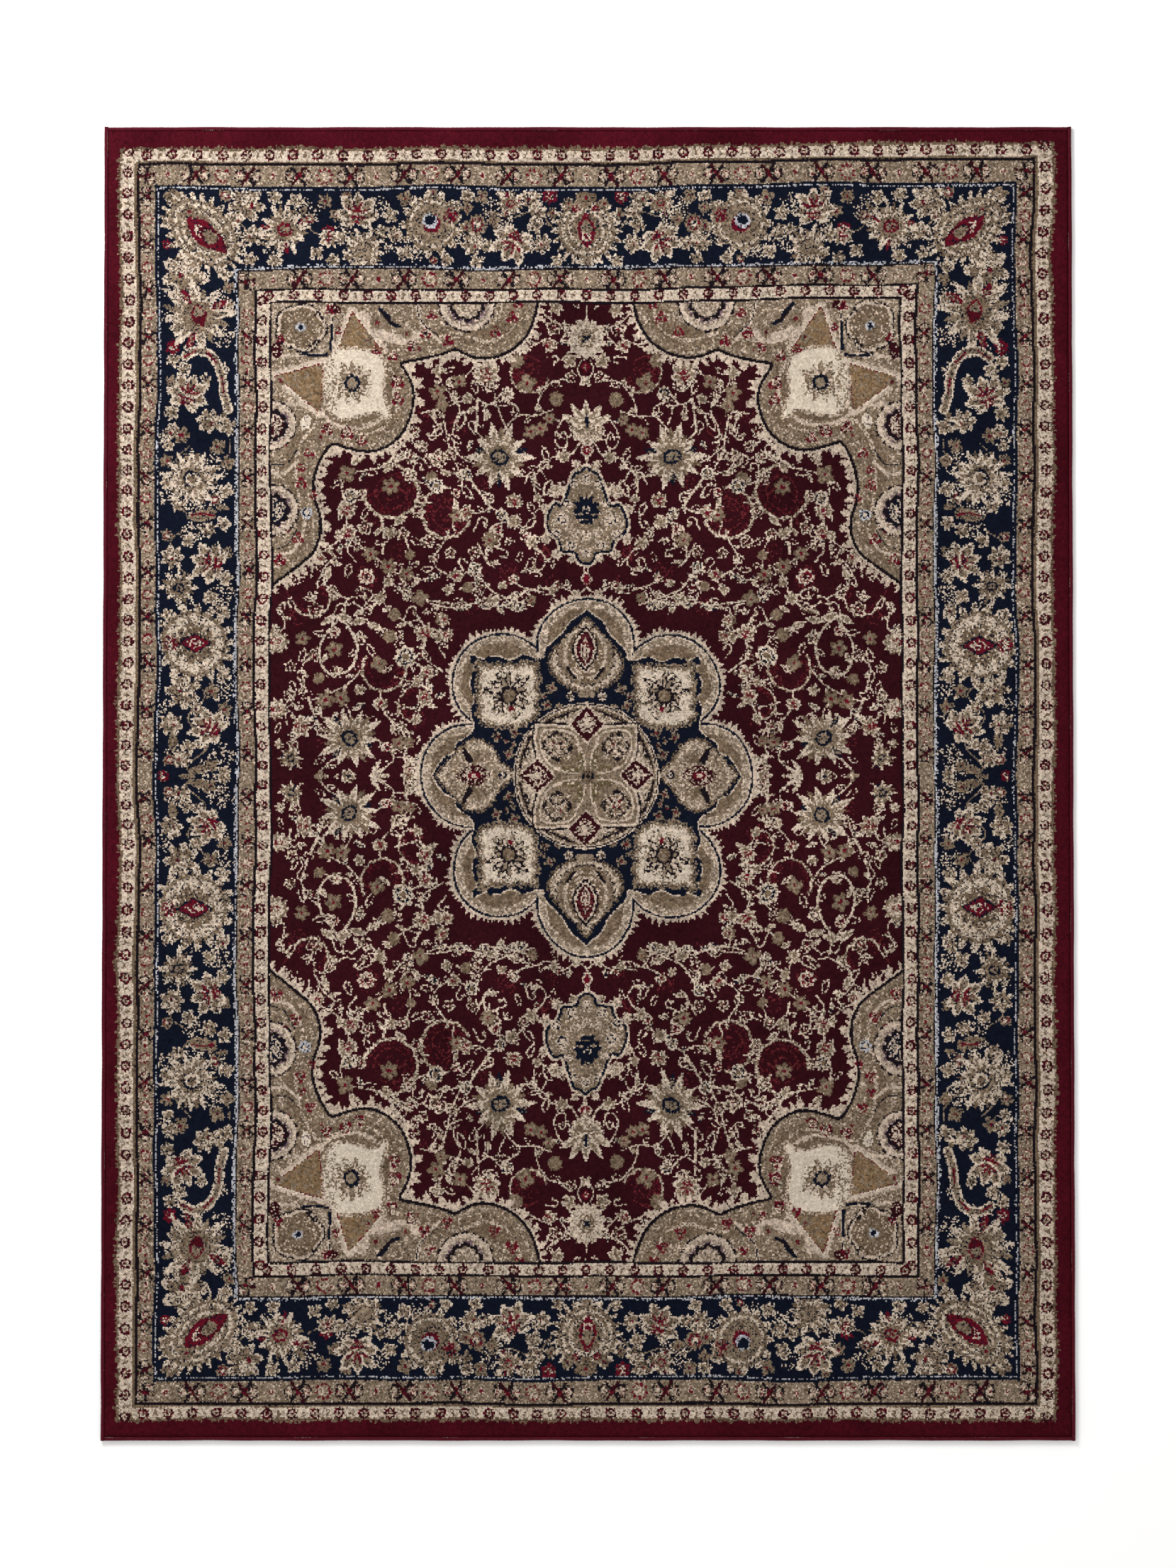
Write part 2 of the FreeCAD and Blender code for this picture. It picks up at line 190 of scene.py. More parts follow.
def square_flower(x, y, size, turn=0, petal=BEIGE, heart=CREAM):
    """A four-petalled flower with pointed tips."""
    stamp(x, y, size, turn, [
        (petals(4, 1.0, 0.5, 1.6), petal),
        (spokes(4, 0.8, 0.0, 0.08), TAN),
        (oval(0.28, 0.28), heart),
    ])


def ringed_flower(x, y, size, petal=CREAM, ring=RED, heart=TAN):
    """A daisy seen face on: a hoop of petals round a ring and a heart."""
    stamp(x, y, size, 0, [
        (petals(8, 1.0, 0.72, 0.6), petal),
        (hoop(0.66, 0.66, 0.4), ring),
        (grains(oval(0.62, 0.62), 0.4), petal),
        (oval(0.3, 0.3), heart),
    ])


def star_flower(x, y, size, turn=0, count=9, heart=NAVY, second=TAN, eye=0.27):
    """A large flower of long pointed petals, pale over dark, round a ringed heart."""
    behind, before = [], []
    for index in range(2 * count):
        angle, reach = 180 * index / count, 1.0 + 0.12 * math.sin(5 * index + x)
        if index % 2:
            behind += [(leaf(0.95 * reach, 0.13, 0, 0, angle), second if index % 3 else heart),
                       (grains(leaf(0.9 * reach, 0.1, 0, 0, angle), 0.4), BEIGE)]
        else:
            before += [(leaf(1.14 * reach, 0.14, 0, 0, angle), CREAM),
                       (grains(leaf(0.8 * reach, 0.09, 0, 0, angle), 0.7), BEIGE)]
    stamp(x, y, size, turn, behind + before + [
        (petals(count, 0.5, 0.38), BEIGE),
        (grains(oval(0.46, 0.46), 0.35), TAN),
        (oval(eye * 1.2, eye), heart),
        (grains(oval(eye * 0.82, eye * 0.66), 0.75), BEIGE),
    ])


def squashed(shape, wide):
    return lambda u, v: shape(u / wide, v)


def palmette(x, y, size, turn=0, wide=0.96, rings=3, heart=BEIGE, eye=BEIGE, count=17):
    """A broad serrated flower head seen from the side, ringed round a pointed heart."""
    layers = [(squashed(petals(count, 1.1, 0.8, 1.6), wide), CREAM),
              (squashed(grains(petals(count, 1.06, 0.76, 1.6), 0.35), wide), TAN)]
    for index in range(rings):
        reach = 0.86 - 0.1 * index
        layers.append((oval(reach * wide, reach), CREAM if index % 2 else BEIGE))
        layers.append((grains(oval(reach * wide, reach), 0.3), BEIGE if index % 2 else TAN))
    layers += [
        (leaf(1.0, 0.23, 0, -0.52), heart),
        (grains(leaf(0.74, 0.15, 0, -0.3), 0.9), eye),
        (grains(oval(0.11, 0.2, 0, 0.04), 0.45), CREAM),
    ]
    stamp(x, y, size, turn, layers)


def lily(x, y, size, turn=0, streak=RED, petal=BEIGE):
    """An open lily: broad pointed petals in a fan, streaked near their base, over a ragged cup."""
    layers = [(petals(7, 0.66, 0.4, 0.9), petal), (grains(petals(7, 0.66, 0.4, 0.9), 0.3), CREAM)]
    for angle, reach in ((-128, 0.8), (128, 0.8), (-88, 1.0), (88, 1.0), (-42, 1.15), (42, 1.15), (0, 1.05)):
        layers.append((leaf(reach, 0.27, 0, -0.12, angle), CREAM))
        layers.append((leaf(reach * 0.8, 0.18, 0, -0.08, angle), petal))
        layers.append((grains(leaf(reach * 0.8, 0.18, 0, -0.08, angle), 0.3), TAN))
    for angle in (-66, -21, 21, 66):
        layers.append((leaf(0.56, 0.055, 0, 0, angle), streak))
    layers += [
        (grains(oval(0.26, 0.2, 0, -0.3), 0.5), streak),
        (bar(-0.3, -0.2, 0.3, -0.2, 0.05), streak),
    ]
    stamp(x, y, size, turn, layers)


def sprig(x, y, size, turn=0):
    """Hollow pointed leaves that spread from one point."""
    layers = []
    for angle in (-46, 0, 46):
        layers.append((leaf(1.15, 0.2, 0, -0.4, angle), BURGUNDY))
        layers.append((leaf(1.15, 0.2, 0, -0.4, angle, hollow=0.12), CREAM))
    stamp(x, y, size, turn, layers)


def full_leaf(x, y, size, turn, line=CREAM, filling=BEIGE):
    """One broad leaf with a paler edge."""
    stamp(x, y, size, turn, [
        (leaf(2.0, 0.42, 0, -1.0), line),
        (leaf(1.5, 0.24, 0, -0.8), filling),
        (bar(0, -1.0, 0, 0.6, 0.05), line),
    ])


def faint_sketch(x, y, size):
    """A half-hidden flower drawn in broken lines, close to the ground colour."""
    stamp(x, y, size, 0, [
        (grains(hoop(0.9, 1.0, 0.09), 0.6), ROSE),
        (grains(spokes(9, 0.8, 0.07, 0.04), 0.5), ROSE),
        (grains(hoop(0.45, 0.5, 0.2), 0.5), ROSE),
    ])


def dusting(x, y, size):
    """A loose patch of scattered light and dark knots."""
    stamp(x, y, size, 0, [
        (grains(petals(5, 1.0, 0.6), 0.36), CREAM),
        (both(oval(1.0, 0.7), lambda u, v: speckle(v, u, 0.144)), OUTLINE),
    ])


def big_scroll(x, y, size, turn, opening):
    """A ragged pale ring, open on one side, with faint curved lines inside it."""
    open_half = math.radians(opening) / 2
    def crescent(low, high):
        def shape(u, v):
            reach = np.hypot(u, v) + 0.02 * np.sin(9 * np.arctan2(u, v))
            return (reach < high) & (reach > low) & (np.abs(np.arctan2(u, v)) > open_half)
        return shape
    stamp(x, y, size, turn, [
        (grains(crescent(0.62, 0.9), 0.14), SCARLET),
        (grains(crescent(0.77, 0.81), 0.6), ROSE),
        (grains(crescent(0.6, 0.64), 0.5), ROSE),
        (crescent(0.9, 1.0), CREAM),
        (grains(crescent(0.88, 1.02), 0.35), BEIGE),
    ])


PATH_STEPS = 7


def smooth_path(points, closed=False):
    """A smooth line through given points."""
    spots = np.array(points, float)
    ahead = np.vstack([spots, spots[:2]]) if closed else np.vstack([spots, 2 * spots[-1] - spots[-2]])
    behind = np.vstack([spots[-1:], ahead]) if closed else np.vstack([2 * spots[0] - spots[1], ahead])
    share = np.linspace(0, 1, PATH_STEPS, endpoint=False)[:, None]
    path = []
    for p0, p1, p2, p3 in zip(behind, behind[1:], behind[2:], behind[3:]):
        path.append(0.5 * (2 * p1 + (p2 - p0) * share + (2 * p0 - 5 * p1 + 4 * p2 - p3) * share ** 2
                           + (3 * p1 - p0 - 3 * p2 + p3) * share ** 3))
    return np.vstack(path + [behind[-2][None]])


def vine(*points, thick=1.35, colour=CREAM, closed=False):
    """A thin stem along given points."""
    path = smooth_path(points, closed)
    for (x0, y0), (x1, y1) in zip(path, path[1:]):
        reach = math.hypot(x1 - x0, y1 - y0) / 2 + 2 * thick
        area, across, along = window((x0 + x1) / 2, (y0 + y1) / 2, reach)
        run_x, run_y = (x1 - x0) / 2, (y1 - y0) / 2
        length = max(run_x ** 2 + run_y ** 2, 1e-6)
        share = np.clip((across * run_x + along * run_y) / length, -1, 1)
        near = np.hypot(across - share * run_x, along - share * run_y) < thick
        quarter[area][near] = colour


def lobed(lobes):
    """How deep each spot lies inside a union of discs, and how far round its nearest disc."""
    depth = np.full(quarter.shape, -1e9)
    round_run = np.zeros(quarter.shape)
    for x, y, radius in lobes:
        across, along = COLUMNS - x, ROWS - y
        inside = radius - np.hypot(across, along)
        deeper = inside > depth
        depth[deeper] = inside[deeper]
        round_run[deeper] = (np.arctan2(along, across) * radius)[deeper]
    return depth, round_run


def toothed(depth, round_run, tall, pitch):
    """Uneven pointed teeth that stand outward from an edge."""
    own = 0.62 + 0.38 * np.sin(7.3 * np.floor(round_run / pitch))
    height = tall * own * np.abs(2 * ((round_run / pitch) % 1) - 1) ** 0.8
    quarter[(depth < 0) & (depth > -1.5 - height)] = CREAM


def lined(depth, low, high, colour):
    """A line that follows an edge, between two depths."""
    quarter[(depth > low) & (depth <= high)] = colour


def walked(points, pitch):
    """Places at an even pitch along a smooth line, each with the line's direction there."""
    path = smooth_path(points)
    run = np.concatenate([[0], np.cumsum(np.hypot(*np.diff(path, axis=0).T))])
    for place in np.arange(pitch / 2, run[-1], pitch):
        x, y = np.interp(place, run, path[:, 0]), np.interp(place, run, path[:, 1])
        ahead_x, ahead_y = np.interp(place + 2, run, path[:, 0]), np.interp(place + 2, run, path[:, 1])
        yield x, y, math.atan2(ahead_y - y, ahead_x - x)


def flamed(points, pitch, tall):
    """Pale pointed tufts of uneven length along an outline, to the right of its run."""
    for index, (x, y, way) in enumerate(walked(points, pitch)):
        reach = tall * (0.7 + 0.4 * math.sin(5.1 * index))
        stamp(x, y, reach, math.degrees(way) - 180 + 24 * math.sin(3.7 * index), [(leaf(1.15, 0.24), CREAM)])


# --- The borders ------------------------------------------------------------------------------------

FROM_SIDE, FROM_END = HALF_WIDE - COLUMNS, HALF_LONG - ROWS

# Each line is a rectangle of colour: the band it starts from, how far in from that band's outer
# edge it lies at the long edges and at the ends, and its colour. Each covers the middle of the last.
BAND_LINES = [
    ("outer_guard", 0, 0, TAN),
    ("outer_guard", 5, 5, CREAM),
    ("outer_guard", 27, 22.5, TAN),
    ("outer_guard", 32, 26, OUTLINE),
    ("outer_minor_border", 2.5, 2.5, BEIGE),
    ("outer_minor_border", 28.5, 39.5, NAVY),
    ("main_border", 0, 0, WHITE),
    ("main_border", 3.0, 3.0, NAVY),
    ("main_border", 137.2, 137.2, WHITE),
    ("inner_minor_border", 0, 0.5, OUTLINE),
    ("inner_minor_border", 2.5, 3, BEIGE),
    ("inner_minor_border", 28.5, 35.5, OUTLINE),
    ("inner_guard", 2, 2, CREAM),
    ("inner_guard", 24, 20.5, OUTLINE),
    ("field", 0, 0, BURGUNDY),
]


def within_line(band, into_side=0, into_end=0):
    """Everything inside a rectangle that runs round the rug."""
    side, end = BAND_STARTS[band]
    return (FROM_SIDE > side + into_side) & (FROM_END > end + into_end)


def drawn_within(area, draw):
    """Draws only inside an area, whatever the motifs reach over."""
    before = quarter.copy()
    draw()
    quarter[~area] = before[~area]


def band_middle(band, next_band):
    """The middle line of a band at the long edges and at the ends, from the middle of the rug."""
    side = (BAND_STARTS[band][0] + BAND_STARTS[next_band][0]) / 2
    end = (BAND_STARTS[band][1] + BAND_STARTS[next_band][1]) / 2
    return HALF_WIDE - side, HALF_LONG - end


def guard_flower(x, y, size, turn=0):
    """A small rosette with a ragged dark red ring and a dot."""
    stamp(x, y, size, turn, [
        (petals(8, 1.1, 0.85), GARNET),
        (grains(petals(8, 1.1, 0.85), 0.2), RED),
        (oval(0.62, 0.52), CREAM),
        (grains(oval(0.6, 0.5), 0.4), BEIGE),
        (oval(0.26, 0.24), BURGUNDY),
    ])


def guard_dash(x, y, size, turn=0):
    """A slanting dab between two rosettes."""
    stamp(x, y, size, turn, [(oval(0.42, 1.0), TAN), (grains(oval(0.42, 1.0), 0.3), CREAM)])


def cross(x, y, size, turn=0):
    """A crossed stem with a small dotted flower on each side."""
    layers = []
    for side in (-1, 1):
        layers += [
            (grains(hoop(0.5, 0.72, 0.36, 0.88 * side), 0.62), OUTLINE),
            (grains(oval(0.3, 0.42, 0.88 * side), 0.7), CREAM),
            (grains(oval(0.34, 0.5, 0.88 * side), 0.14), RED),
        ]
    layers += [
        (bar(-0.6, -0.85, 0.6, 0.85, 0.15), OUTLINE),
        (bar(-0.6, 0.85, 0.6, -0.85, 0.15), GARNET),
        (grains(oval(0.3, 0.4), 0.4), RED),
    ]
    stamp(x, y, size, turn, layers)


def dotted_rosette(x, y, size):
    """A ring of dark red dots round a speckled heart."""
    stamp(x, y, size, 0, [
        (both(hoop(1.0, 0.92, 0.34), petals(9, 1.0, 0.62, 2.0)), RED),
        (grains(oval(0.6, 0.55), 0.35), RED),
        (grains(oval(0.6, 0.55), 0.4), CREAM),
    ])


def bud(x, y, size):
    """A red bud with a pale eye."""
    stamp(x, y, size, 0, [
        (grains(oval(1.5, 1.9), 0.3), CREAM),
        (leaf(2.4, 0.75, 0, -1.2), RED),
        (oval(0.3, 0.35, 0, -0.1), CREAM),
    ])


def along_band(places, band_x, band_y, run):
    """Gives each place along a run its x, y and turn: the run goes up a side or across an end."""
    for place in places:
        yield (band_x, place, 90) if run == "side" else (place, band_y, 0)


GUARD_SIDE_PITCH, GUARD_END_PITCH = 37.5, 43


def draw_guard(band, next_band, size):
    """Rosettes at an even pitch, with a slanting dab between each two."""
    middle_x, middle_y = band_middle(band, next_band)
    middle_x, middle_y = middle_x + 2.5, middle_y + 2.5
    for run, pitch, shift, limit in (
            ("side", GUARD_SIDE_PITCH, 0.5, middle_y), ("end", GUARD_END_PITCH, 0, middle_x)):
        places = np.arange(shift * pitch, limit + 0.25 * pitch, pitch)
        for x, y, turn in along_band(places, middle_x, middle_y, run):
            guard_flower(x, y, size, turn)
        for x, y, turn in along_band(places + pitch / 2, middle_x, middle_y, run):
            if x <= middle_x and y <= middle_y:
                guard_dash(x, y, 0.66 * size, turn + 25)


MINOR_SIDE_PITCH, MINOR_END_STEP = 82, 46


def draw_minor(band, next_band, shift_x, shift_y, size):
    """Crosses up the sides; crosses, rosettes and buds by turns along the ends."""
    middle_x, middle_y = band_middle(band, next_band)
    middle_x, middle_y = middle_x + shift_x, middle_y + shift_y
    for index in range(int(middle_y // MINOR_SIDE_PITCH) + 1):
        y = MINOR_SIDE_PITCH * (index + 0.5)
        if y < middle_y - 30:
            cross(middle_x, y, 0.72 * size, 90)
        if y + MINOR_SIDE_PITCH / 2 < middle_y - 20:
            dotted_rosette(middle_x, MINOR_SIDE_PITCH * (index + 1), 0.62 * size)
            for offset in (-20, 20):
                bud(middle_x, MINOR_SIDE_PITCH * (index + 1) + offset, 2.6)
    for index in range(int((middle_x - 26) // MINOR_END_STEP) + 1):
        x = MINOR_END_STEP * index
        if index % 4 == 0:
            bud(x, middle_y, 4.2)
        elif index % 4 == 2:
            dotted_rosette(x, middle_y, 0.86 * size)
        else:
            cross(x, middle_y, size)
    cross(middle_x, middle_y, 0.8 * size, 45)


def bead(area, share, colour):
    """Breaks a fine line into beads."""
    mottle = random.random(quarter.shape) < share
    quarter[area & mottle] = colour


def ragged_edge(band, into_side, into_end, tall, colour, share=0.5):
    """Lets a band's edge run outward in short uneven tufts."""
    side, end = BAND_STARTS[band]
    tuft_rows = np.repeat(random.random(quarter.shape[0] // 3 + 1), 3)[:quarter.shape[0], None]
    tuft_columns = np.repeat(random.random(quarter.shape[1] // 3 + 1), 3)[None, :quarter.shape[1]]
    beyond_side, beyond_end = side + into_side - FROM_SIDE, end + into_end - FROM_END
    on_side = (beyond_side > 0) & (beyond_side < tall * tuft_rows ** (1 / share)) & (beyond_end < 0)
    on_end = (beyond_end > 0) & (beyond_end < tall * tuft_columns ** (1 / share)) & (beyond_side < 0)
    quarter[on_side | on_end] = colour


# The white lines at the two edges of the main border, and where the navy between them lies.
WHITE_LINE, MAIN_INNER_LINE = 4, 136


def draw_bands():
    """The plain grounds and lines of every border, then the guards and minor borders on them."""
    for band, into_side, into_end, colour in BAND_LINES:
        area = within_line(band, into_side, into_end)
        quarter[area] = colour
        if colour == BEIGE:
            shaded(area, CREAM, 0.16)
            shaded(area, TAN, 0.2)
        if colour == CREAM:
            shaded(area, BEIGE, 0.1)
            shaded(area, IVORY, 0.3)
    for into_side, into_end in ((0, 0), (MAIN_INNER_LINE, MAIN_INNER_LINE)):
        line = within_line("main_border", into_side, into_end)
        line &= ~within_line("main_border", into_side + WHITE_LINE, into_end + WHITE_LINE)
        bead(line, 0.32, NAVY)
    ragged_edge("outer_guard", 0, 0, 6, TAN)
    ragged_edge("outer_guard", 5, 5, 4, CREAM)
    ragged_edge("outer_minor_border", 29.5, 40.5, 2.5, NAVY)
    ragged_edge("main_border", WHITE_LINE, WHITE_LINE, 3, NAVY, 0.7)
    ragged_edge("main_border", MAIN_INNER_LINE, MAIN_INNER_LINE, 2, WHITE, 0.6)
    draw_guard("outer_guard", "outer_minor_border", 9.5)
    draw_guard("inner_guard", "field", 9)
    draw_minor("outer_minor_border", "main_border", 2, 1, 18)
    draw_minor("inner_minor_border", "inner_guard", -1, -1, 17)


def draw_main_border():
    """Flower heads, lilies and stars, packed along the navy border."""
    for place in MAIN_DUST:
        dusting(*place)
    for points in MAIN_VINES:
        vine(*points, thick=1.2, colour=BEIGE)
    for place in MAIN_LEAVES:
        full_leaf(*place, line=BEIGE, filling=TAN)
    for place in MAIN_SMALL_FLOWERS:
        flower(*place, petal=CREAM, heart=TAN, ring=BEIGE)
    for place in MAIN_TAN_FLOWERS:
        flower(*place, petal=BEIGE, heart=RED, ring=TAN)
    for place in MAIN_RED_FLOWERS:
        ringed_flower(*place, petal=BEIGE, ring=RED, heart=CREAM)
    for place in MAIN_CLUSTERS:
        cluster(*place)
    for place in MAIN_RED_BLOBS:
        red_flower(*place)
    for place in MAIN_STARS:
        star_flower(*place)
    for place in MAIN_LILIES:
        lily(*place)
    draw_large_heads()
    navy_ground = within_line("main_border")
    shaded(navy_ground, NAVY, 0.13)
    shaded(navy_ground & (quarter == CREAM), IVORY, 0.3)
    shaded(navy_ground & (quarter == BEIGE), TAN, 0.2)


def cluster(x, y, size, turn=0):
    """A clump of blossoms that touch: pale tips, tan shadows and a few dark gaps."""
    own = math.sin(x * 3.1 + y * 5.3)
    stamp(x, y, size, turn, [
        (petals(7, 1.05, 0.62, 1.1, own), CREAM),
        (petals(5, 0.8, 0.4, 1.0, 2 * own), BEIGE),
        (grains(petals(7, 0.95, 0.5, 1.1, own), 0.3), TAN),
        (grains(spokes(7, 0.9, 0.3, 0.07, 0.4 + own), 0.7), OUTLINE),
        (grains(oval(0.5, 0.4, 0.2 * own, 0.2), 0.5), CREAM),
        (oval(0.1, 0.13, 0.3 * own, -0.1), RED),
    ])


def red_flower(x, y, size):
    """A small dark red flower with pale veins."""
    stamp(x, y, size, 0, [
        (petals(6, 1.0, 0.7), RED),
        (spokes(6, 0.9, 0.2, 0.1, 0.5), BEIGE),
        (grains(oval(0.5, 0.5), 0.3), CREAM),
    ])


MAIN_LILIES = [
    (402, 997, 41, 5), (131, 947, 41, -150), (704, 677, 41, 20), (663, 93, 39, -60), (660, 384, 39, -75),
    (454, 951, 20, 190),
]
MAIN_STARS = [
    (535, 967, 43, 10, 10, RED), (392, 930, 36, 20, 9, BEIGE), (133, 1014, 24, 0, 8, RED),
    (715, 341, 33, 0, 8, NAVY), (694, 530, 46, 0, 13, NAVY, TAN),
]
MAIN_CLUSTERS = [
    (600, 1012, 33, 0), (704, 890, 42, 20), (711, 158, 31, 40), (588, 958, 18, 0), (664, 631, 22, 30),
    (202, 945, 20, 0), (727, 394, 21, 0), (730, 98, 22, 0), (98, 1024, 20, 10), (86, 1000, 16, 0),
    (338, 958, 14, 0), (300, 1012, 12, 0), (684, 128, 14, 0), (728, 612, 14, 0), (640, 300, 12, 0),
    (716, 485, 15, 0), (79, 943, 17, 0), (620, 985, 15, 0), (178, 943, 13, 0), (710, 33, 17, 0),
    (663, 441, 14, 0),
]
MAIN_SMALL_FLOWERS = [
    (592, 918, 12), (550, 915, 13), (512, 1019, 14), (476, 925, 13), (446, 913, 12), (345, 992, 14),
    (321, 925, 14), (247, 915, 12), (210, 1025, 13), (195, 915, 12), (51, 913, 12), (550, 1024, 14),
    (91, 975, 15), (729, 738, 13), (711, 722, 13), (672, 704, 11), (633, 892, 13), (632, 622, 16),
    (731, 645, 14), (733, 587, 11), (634, 511, 14), (637, 453, 13), (635, 356, 13), (637, 294, 13),
    (637, 185, 14), (698, 423, 13), (660, 322, 14), (700, 56, 14), (736, 520, 12), (736, 290, 12),
    (638, 6, 12), (434, 952, 12), (420, 921, 11), (360, 965, 10), (150, 1034, 10), (228, 1005, 10),
    (630, 837, 12), (721, 795, 14), (640, 250, 10), (680, 60, 12),
]
MAIN_TAN_FLOWERS = [
    (460, 1019, 13), (441, 992, 12), (318, 1020, 14), (183, 1025, 13), (210, 1005, 11), (163, 985, 12),
    (212, 972, 12), (627, 870, 11), (649, 587, 14), (711, 605, 15), (661, 470, 12), (658, 158, 13),
    (635, 128, 13), (726, 1022, 17), (733, 984, 13), (420, 1030, 10), (271, 1030, 10), (60, 996, 10),
    (736, 560, 12), (735, 700, 10), (662, 20, 13), (631, 560, 12), (634, 230, 10), (634, 400, 11),
]
MAIN_RED_FLOWERS = [
    (638, 1027, 12), (192, 977, 18), (270, 913, 8), (490, 985, 10), (730, 30, 11), (735, 239, 14),
    (655, 495, 11), (736, 430, 10),
]
MAIN_RED_BLOBS = [(455, 962, 13), (64, 1027, 14), (736, 941, 9), (730, 761, 13), (740, 2, 9)]
MAIN_LEAVES = [
    (676, 466, 26, 80), (725, 66, 20, 5), (680, 13, 20, 80), (700, 0, 14, 90), (640, 640, 12, 30),
    (230, 1010, 12, 60), (365, 960, 13, 120), (500, 1000, 12, 40), (718, 270, 13, 150),
    (648, 210, 13, 60), (640, 480, 12, 100), (731, 205, 12, 20), (618, 945, 12, 30),
]
MAIN_DUST = [
    (560, 945, 20), (617, 950, 24), (492, 1000, 26), (430, 960, 24), (360, 1010, 18), (345, 945, 22),
    (225, 960, 26), (165, 1005, 22), (105, 945, 18), (60, 990, 18), (640, 778, 22), (700, 758, 14),
    (640, 850, 18), (735, 860, 12), (640, 720, 14), (740, 600, 14), (650, 560, 26), (735, 500, 20),
    (650, 500, 20), (690, 440, 22), (730, 360, 14), (640, 330, 22), (690, 300, 16), (640, 110, 18),
    (640, 160, 22), (740, 130, 14), (720, 40, 22), (640, 40, 24), (660, 20, 24), (690, 480, 20),
    (740, 820, 10), (628, 930, 12), (300, 925, 16), (150, 980, 20),
]
MAIN_VINES = [
    ((716, 500), (712, 480), (700, 462)), ((627, 600), (629, 575), (640, 560), (658, 547)),
    ((694, 590), (720, 560), (694, 530)), ((705, 440), (730, 420), (720, 380), (690, 360)),
    ((692, 175), (670, 150), (700, 110), (667, 60), (700, 20), (690, 0)),
    ((620, 985), (560, 940), (520, 1000), (480, 960), (440, 960), (398, 960)),
    ((390, 960), (340, 970), (320, 950)),
    ((240, 950), (205, 980), (170, 1000), (132, 990), (90, 1000), (60, 970)),
]
MAIN_CURL = ((709, 744), (691, 754), (669, 751), (652, 734), (642, 707), (640, 682), (632, 652))


def draw_large_heads():
    """The large flower heads that repeat round the border."""
    palmette(674, 962, 80, -50, wide=0.66, rings=6, heart=RED, eye=RED, count=25)
    stamp(655, 950, 34, -50, [
        (leaf(1.9, 0.42, 0, -0.95), BURGUNDY),
        (both(leaf(1.7, 0.33, 0, -0.85), oval(0.5, 0.66, 0, -0.35)), RED),
        (both(leaf(1.6, 0.3, 0, -0.75), oval(0.36, 0.42, 0, 0.25)), BEIGE),
        (grains(oval(0.22, 0.26, 0, 0.25), 0.5), TAN),
    ])
    vine((684, 975), (696, 992), (704, 1002), thick=1.2, colour=RED)
    flower(699, 997, 13, petal=BEIGE, heart=RED)
    palmette(274, 976, 54, 20, count=13)
    stamp(274, 977, 16, 60, [
        (oval(1.0, 1.0), RED), (oval(0.8, 0.85, 0.3), WHITE), (oval(0.52, 0.62, 0.42), NAVY)])
    flower(240, 991, 18, petal=BEIGE, heart=RED, ring=RED)
    palmette(0, 968, 61, 0, rings=5, heart=RED, count=23)
    stamp(0, 963, 30, 0, [
        (leaf(1.95, 0.52, 0, -0.97), RED),
        (both(leaf(1.6, 0.36, 0, -0.8), oval(0.4, 0.45, 0, 0.3)), BEIGE),
        (grains(oval(0.3, 0.26, 0, -0.34), 0.7), CREAM),
        (oval(0.12, 0.1, 0, -0.34), RED),
        (bar(-0.34, 1.15, 0.24, 1.85, 0.07), CREAM),
        (bar(0.34, 1.15, -0.24, 1.85, 0.07), CREAM),
    ])
    flower(0, 1024, 19, petal=TAN, heart=RED)
    flower(33, 1014, 10, petal=BEIGE, heart=RED)
    red_flower(18, 1004, 7)
    stamp(0, 911, 20, 0, [(oval(1.0, 0.3), CREAM), (oval(0.35, 0.7), BEIGE)])
    star_flower(685, 816, 62, -6, count=8, heart=RED, second=BEIGE, eye=0.01)
    stamp(683, 817, 21, 170, [(leaf(2.0, 0.66, 0, -1.0), RED), (leaf(1.5, 0.42, 0, -0.86), BEIGE),
                              (both(leaf(2.0, 0.66, 0, -1.0), oval(1.0, 0.4, 0, 0.42)), SCARLET)])
    vine(*MAIN_CURL, thick=8.5, colour=CREAM)
    vine(*MAIN_CURL, thick=4.5, colour=BEIGE)
    for start in (0, 2, 4):
        vine(*MAIN_CURL[start:start + 2], thick=1.7, colour=RED)
    stamp(694, 530, 15, 0, [
        (oval(1.0, 1.0), NAVY), (oval(0.85, 0.85, -0.12, -0.12), CREAM), (oval(0.5, 0.5), TAN)])
    vine((695, 466), (676, 470), (655, 466), thick=1.5, colour=RED)
    palmette(689, 240, 68, 90, wide=0.98)
    stamp(689, 240, 62, 90, [
        (grains(petals(12, 0.86, 0.6, 0.8), 0.75), CREAM),
        (grains(petals(10, 0.6, 0.42, 0.8), 0.6), TAN),
        (diamond(0.3, 0.52), NAVY), (diamond(0.25, 0.45), RED), (grains(diamond(0.17, 0.3), 0.5), CREAM),
    ])
    stamp(733, 240, 14, 0, [(grains(oval(1, 1), 0.5), RED)])


# --- The medallion, pendants and corner pieces ----------------------------------------------------

ROUNDEL_DISC = (0, 0, 126)
MEDALLION_LOBES = [(0, 0, 205), (0, 227, 88), (206, 0, 90), (150, 162, 87)]


def filled(points, curved=True):
    """The area inside a closed line through given points."""
    path = smooth_path(points, closed=True) if curved else np.array(points, float)
    (low_x, low_y), (high_x, high_y) = path.min(axis=0), path.max(axis=0)
    rows = slice(max(int(low_y), 0), int(high_y) + 2)
    columns = slice(max(int(low_x), 0), int(high_x) + 2)
    x, y = COLUMNS[rows, columns], ROWS[rows, columns]
    inside = np.zeros(x.shape, bool)
    for (x0, y0), (x1, y1) in zip(path, np.roll(path, -1, axis=0)):
        if y0 != y1:
            crosses = (y0 > y) != (y1 > y)
            inside ^= crosses & (x < x0 + (y - y0) * (x1 - x0) / (y1 - y0))
    area = np.zeros(quarter.shape, bool)
    area[rows, columns] = inside
    return area


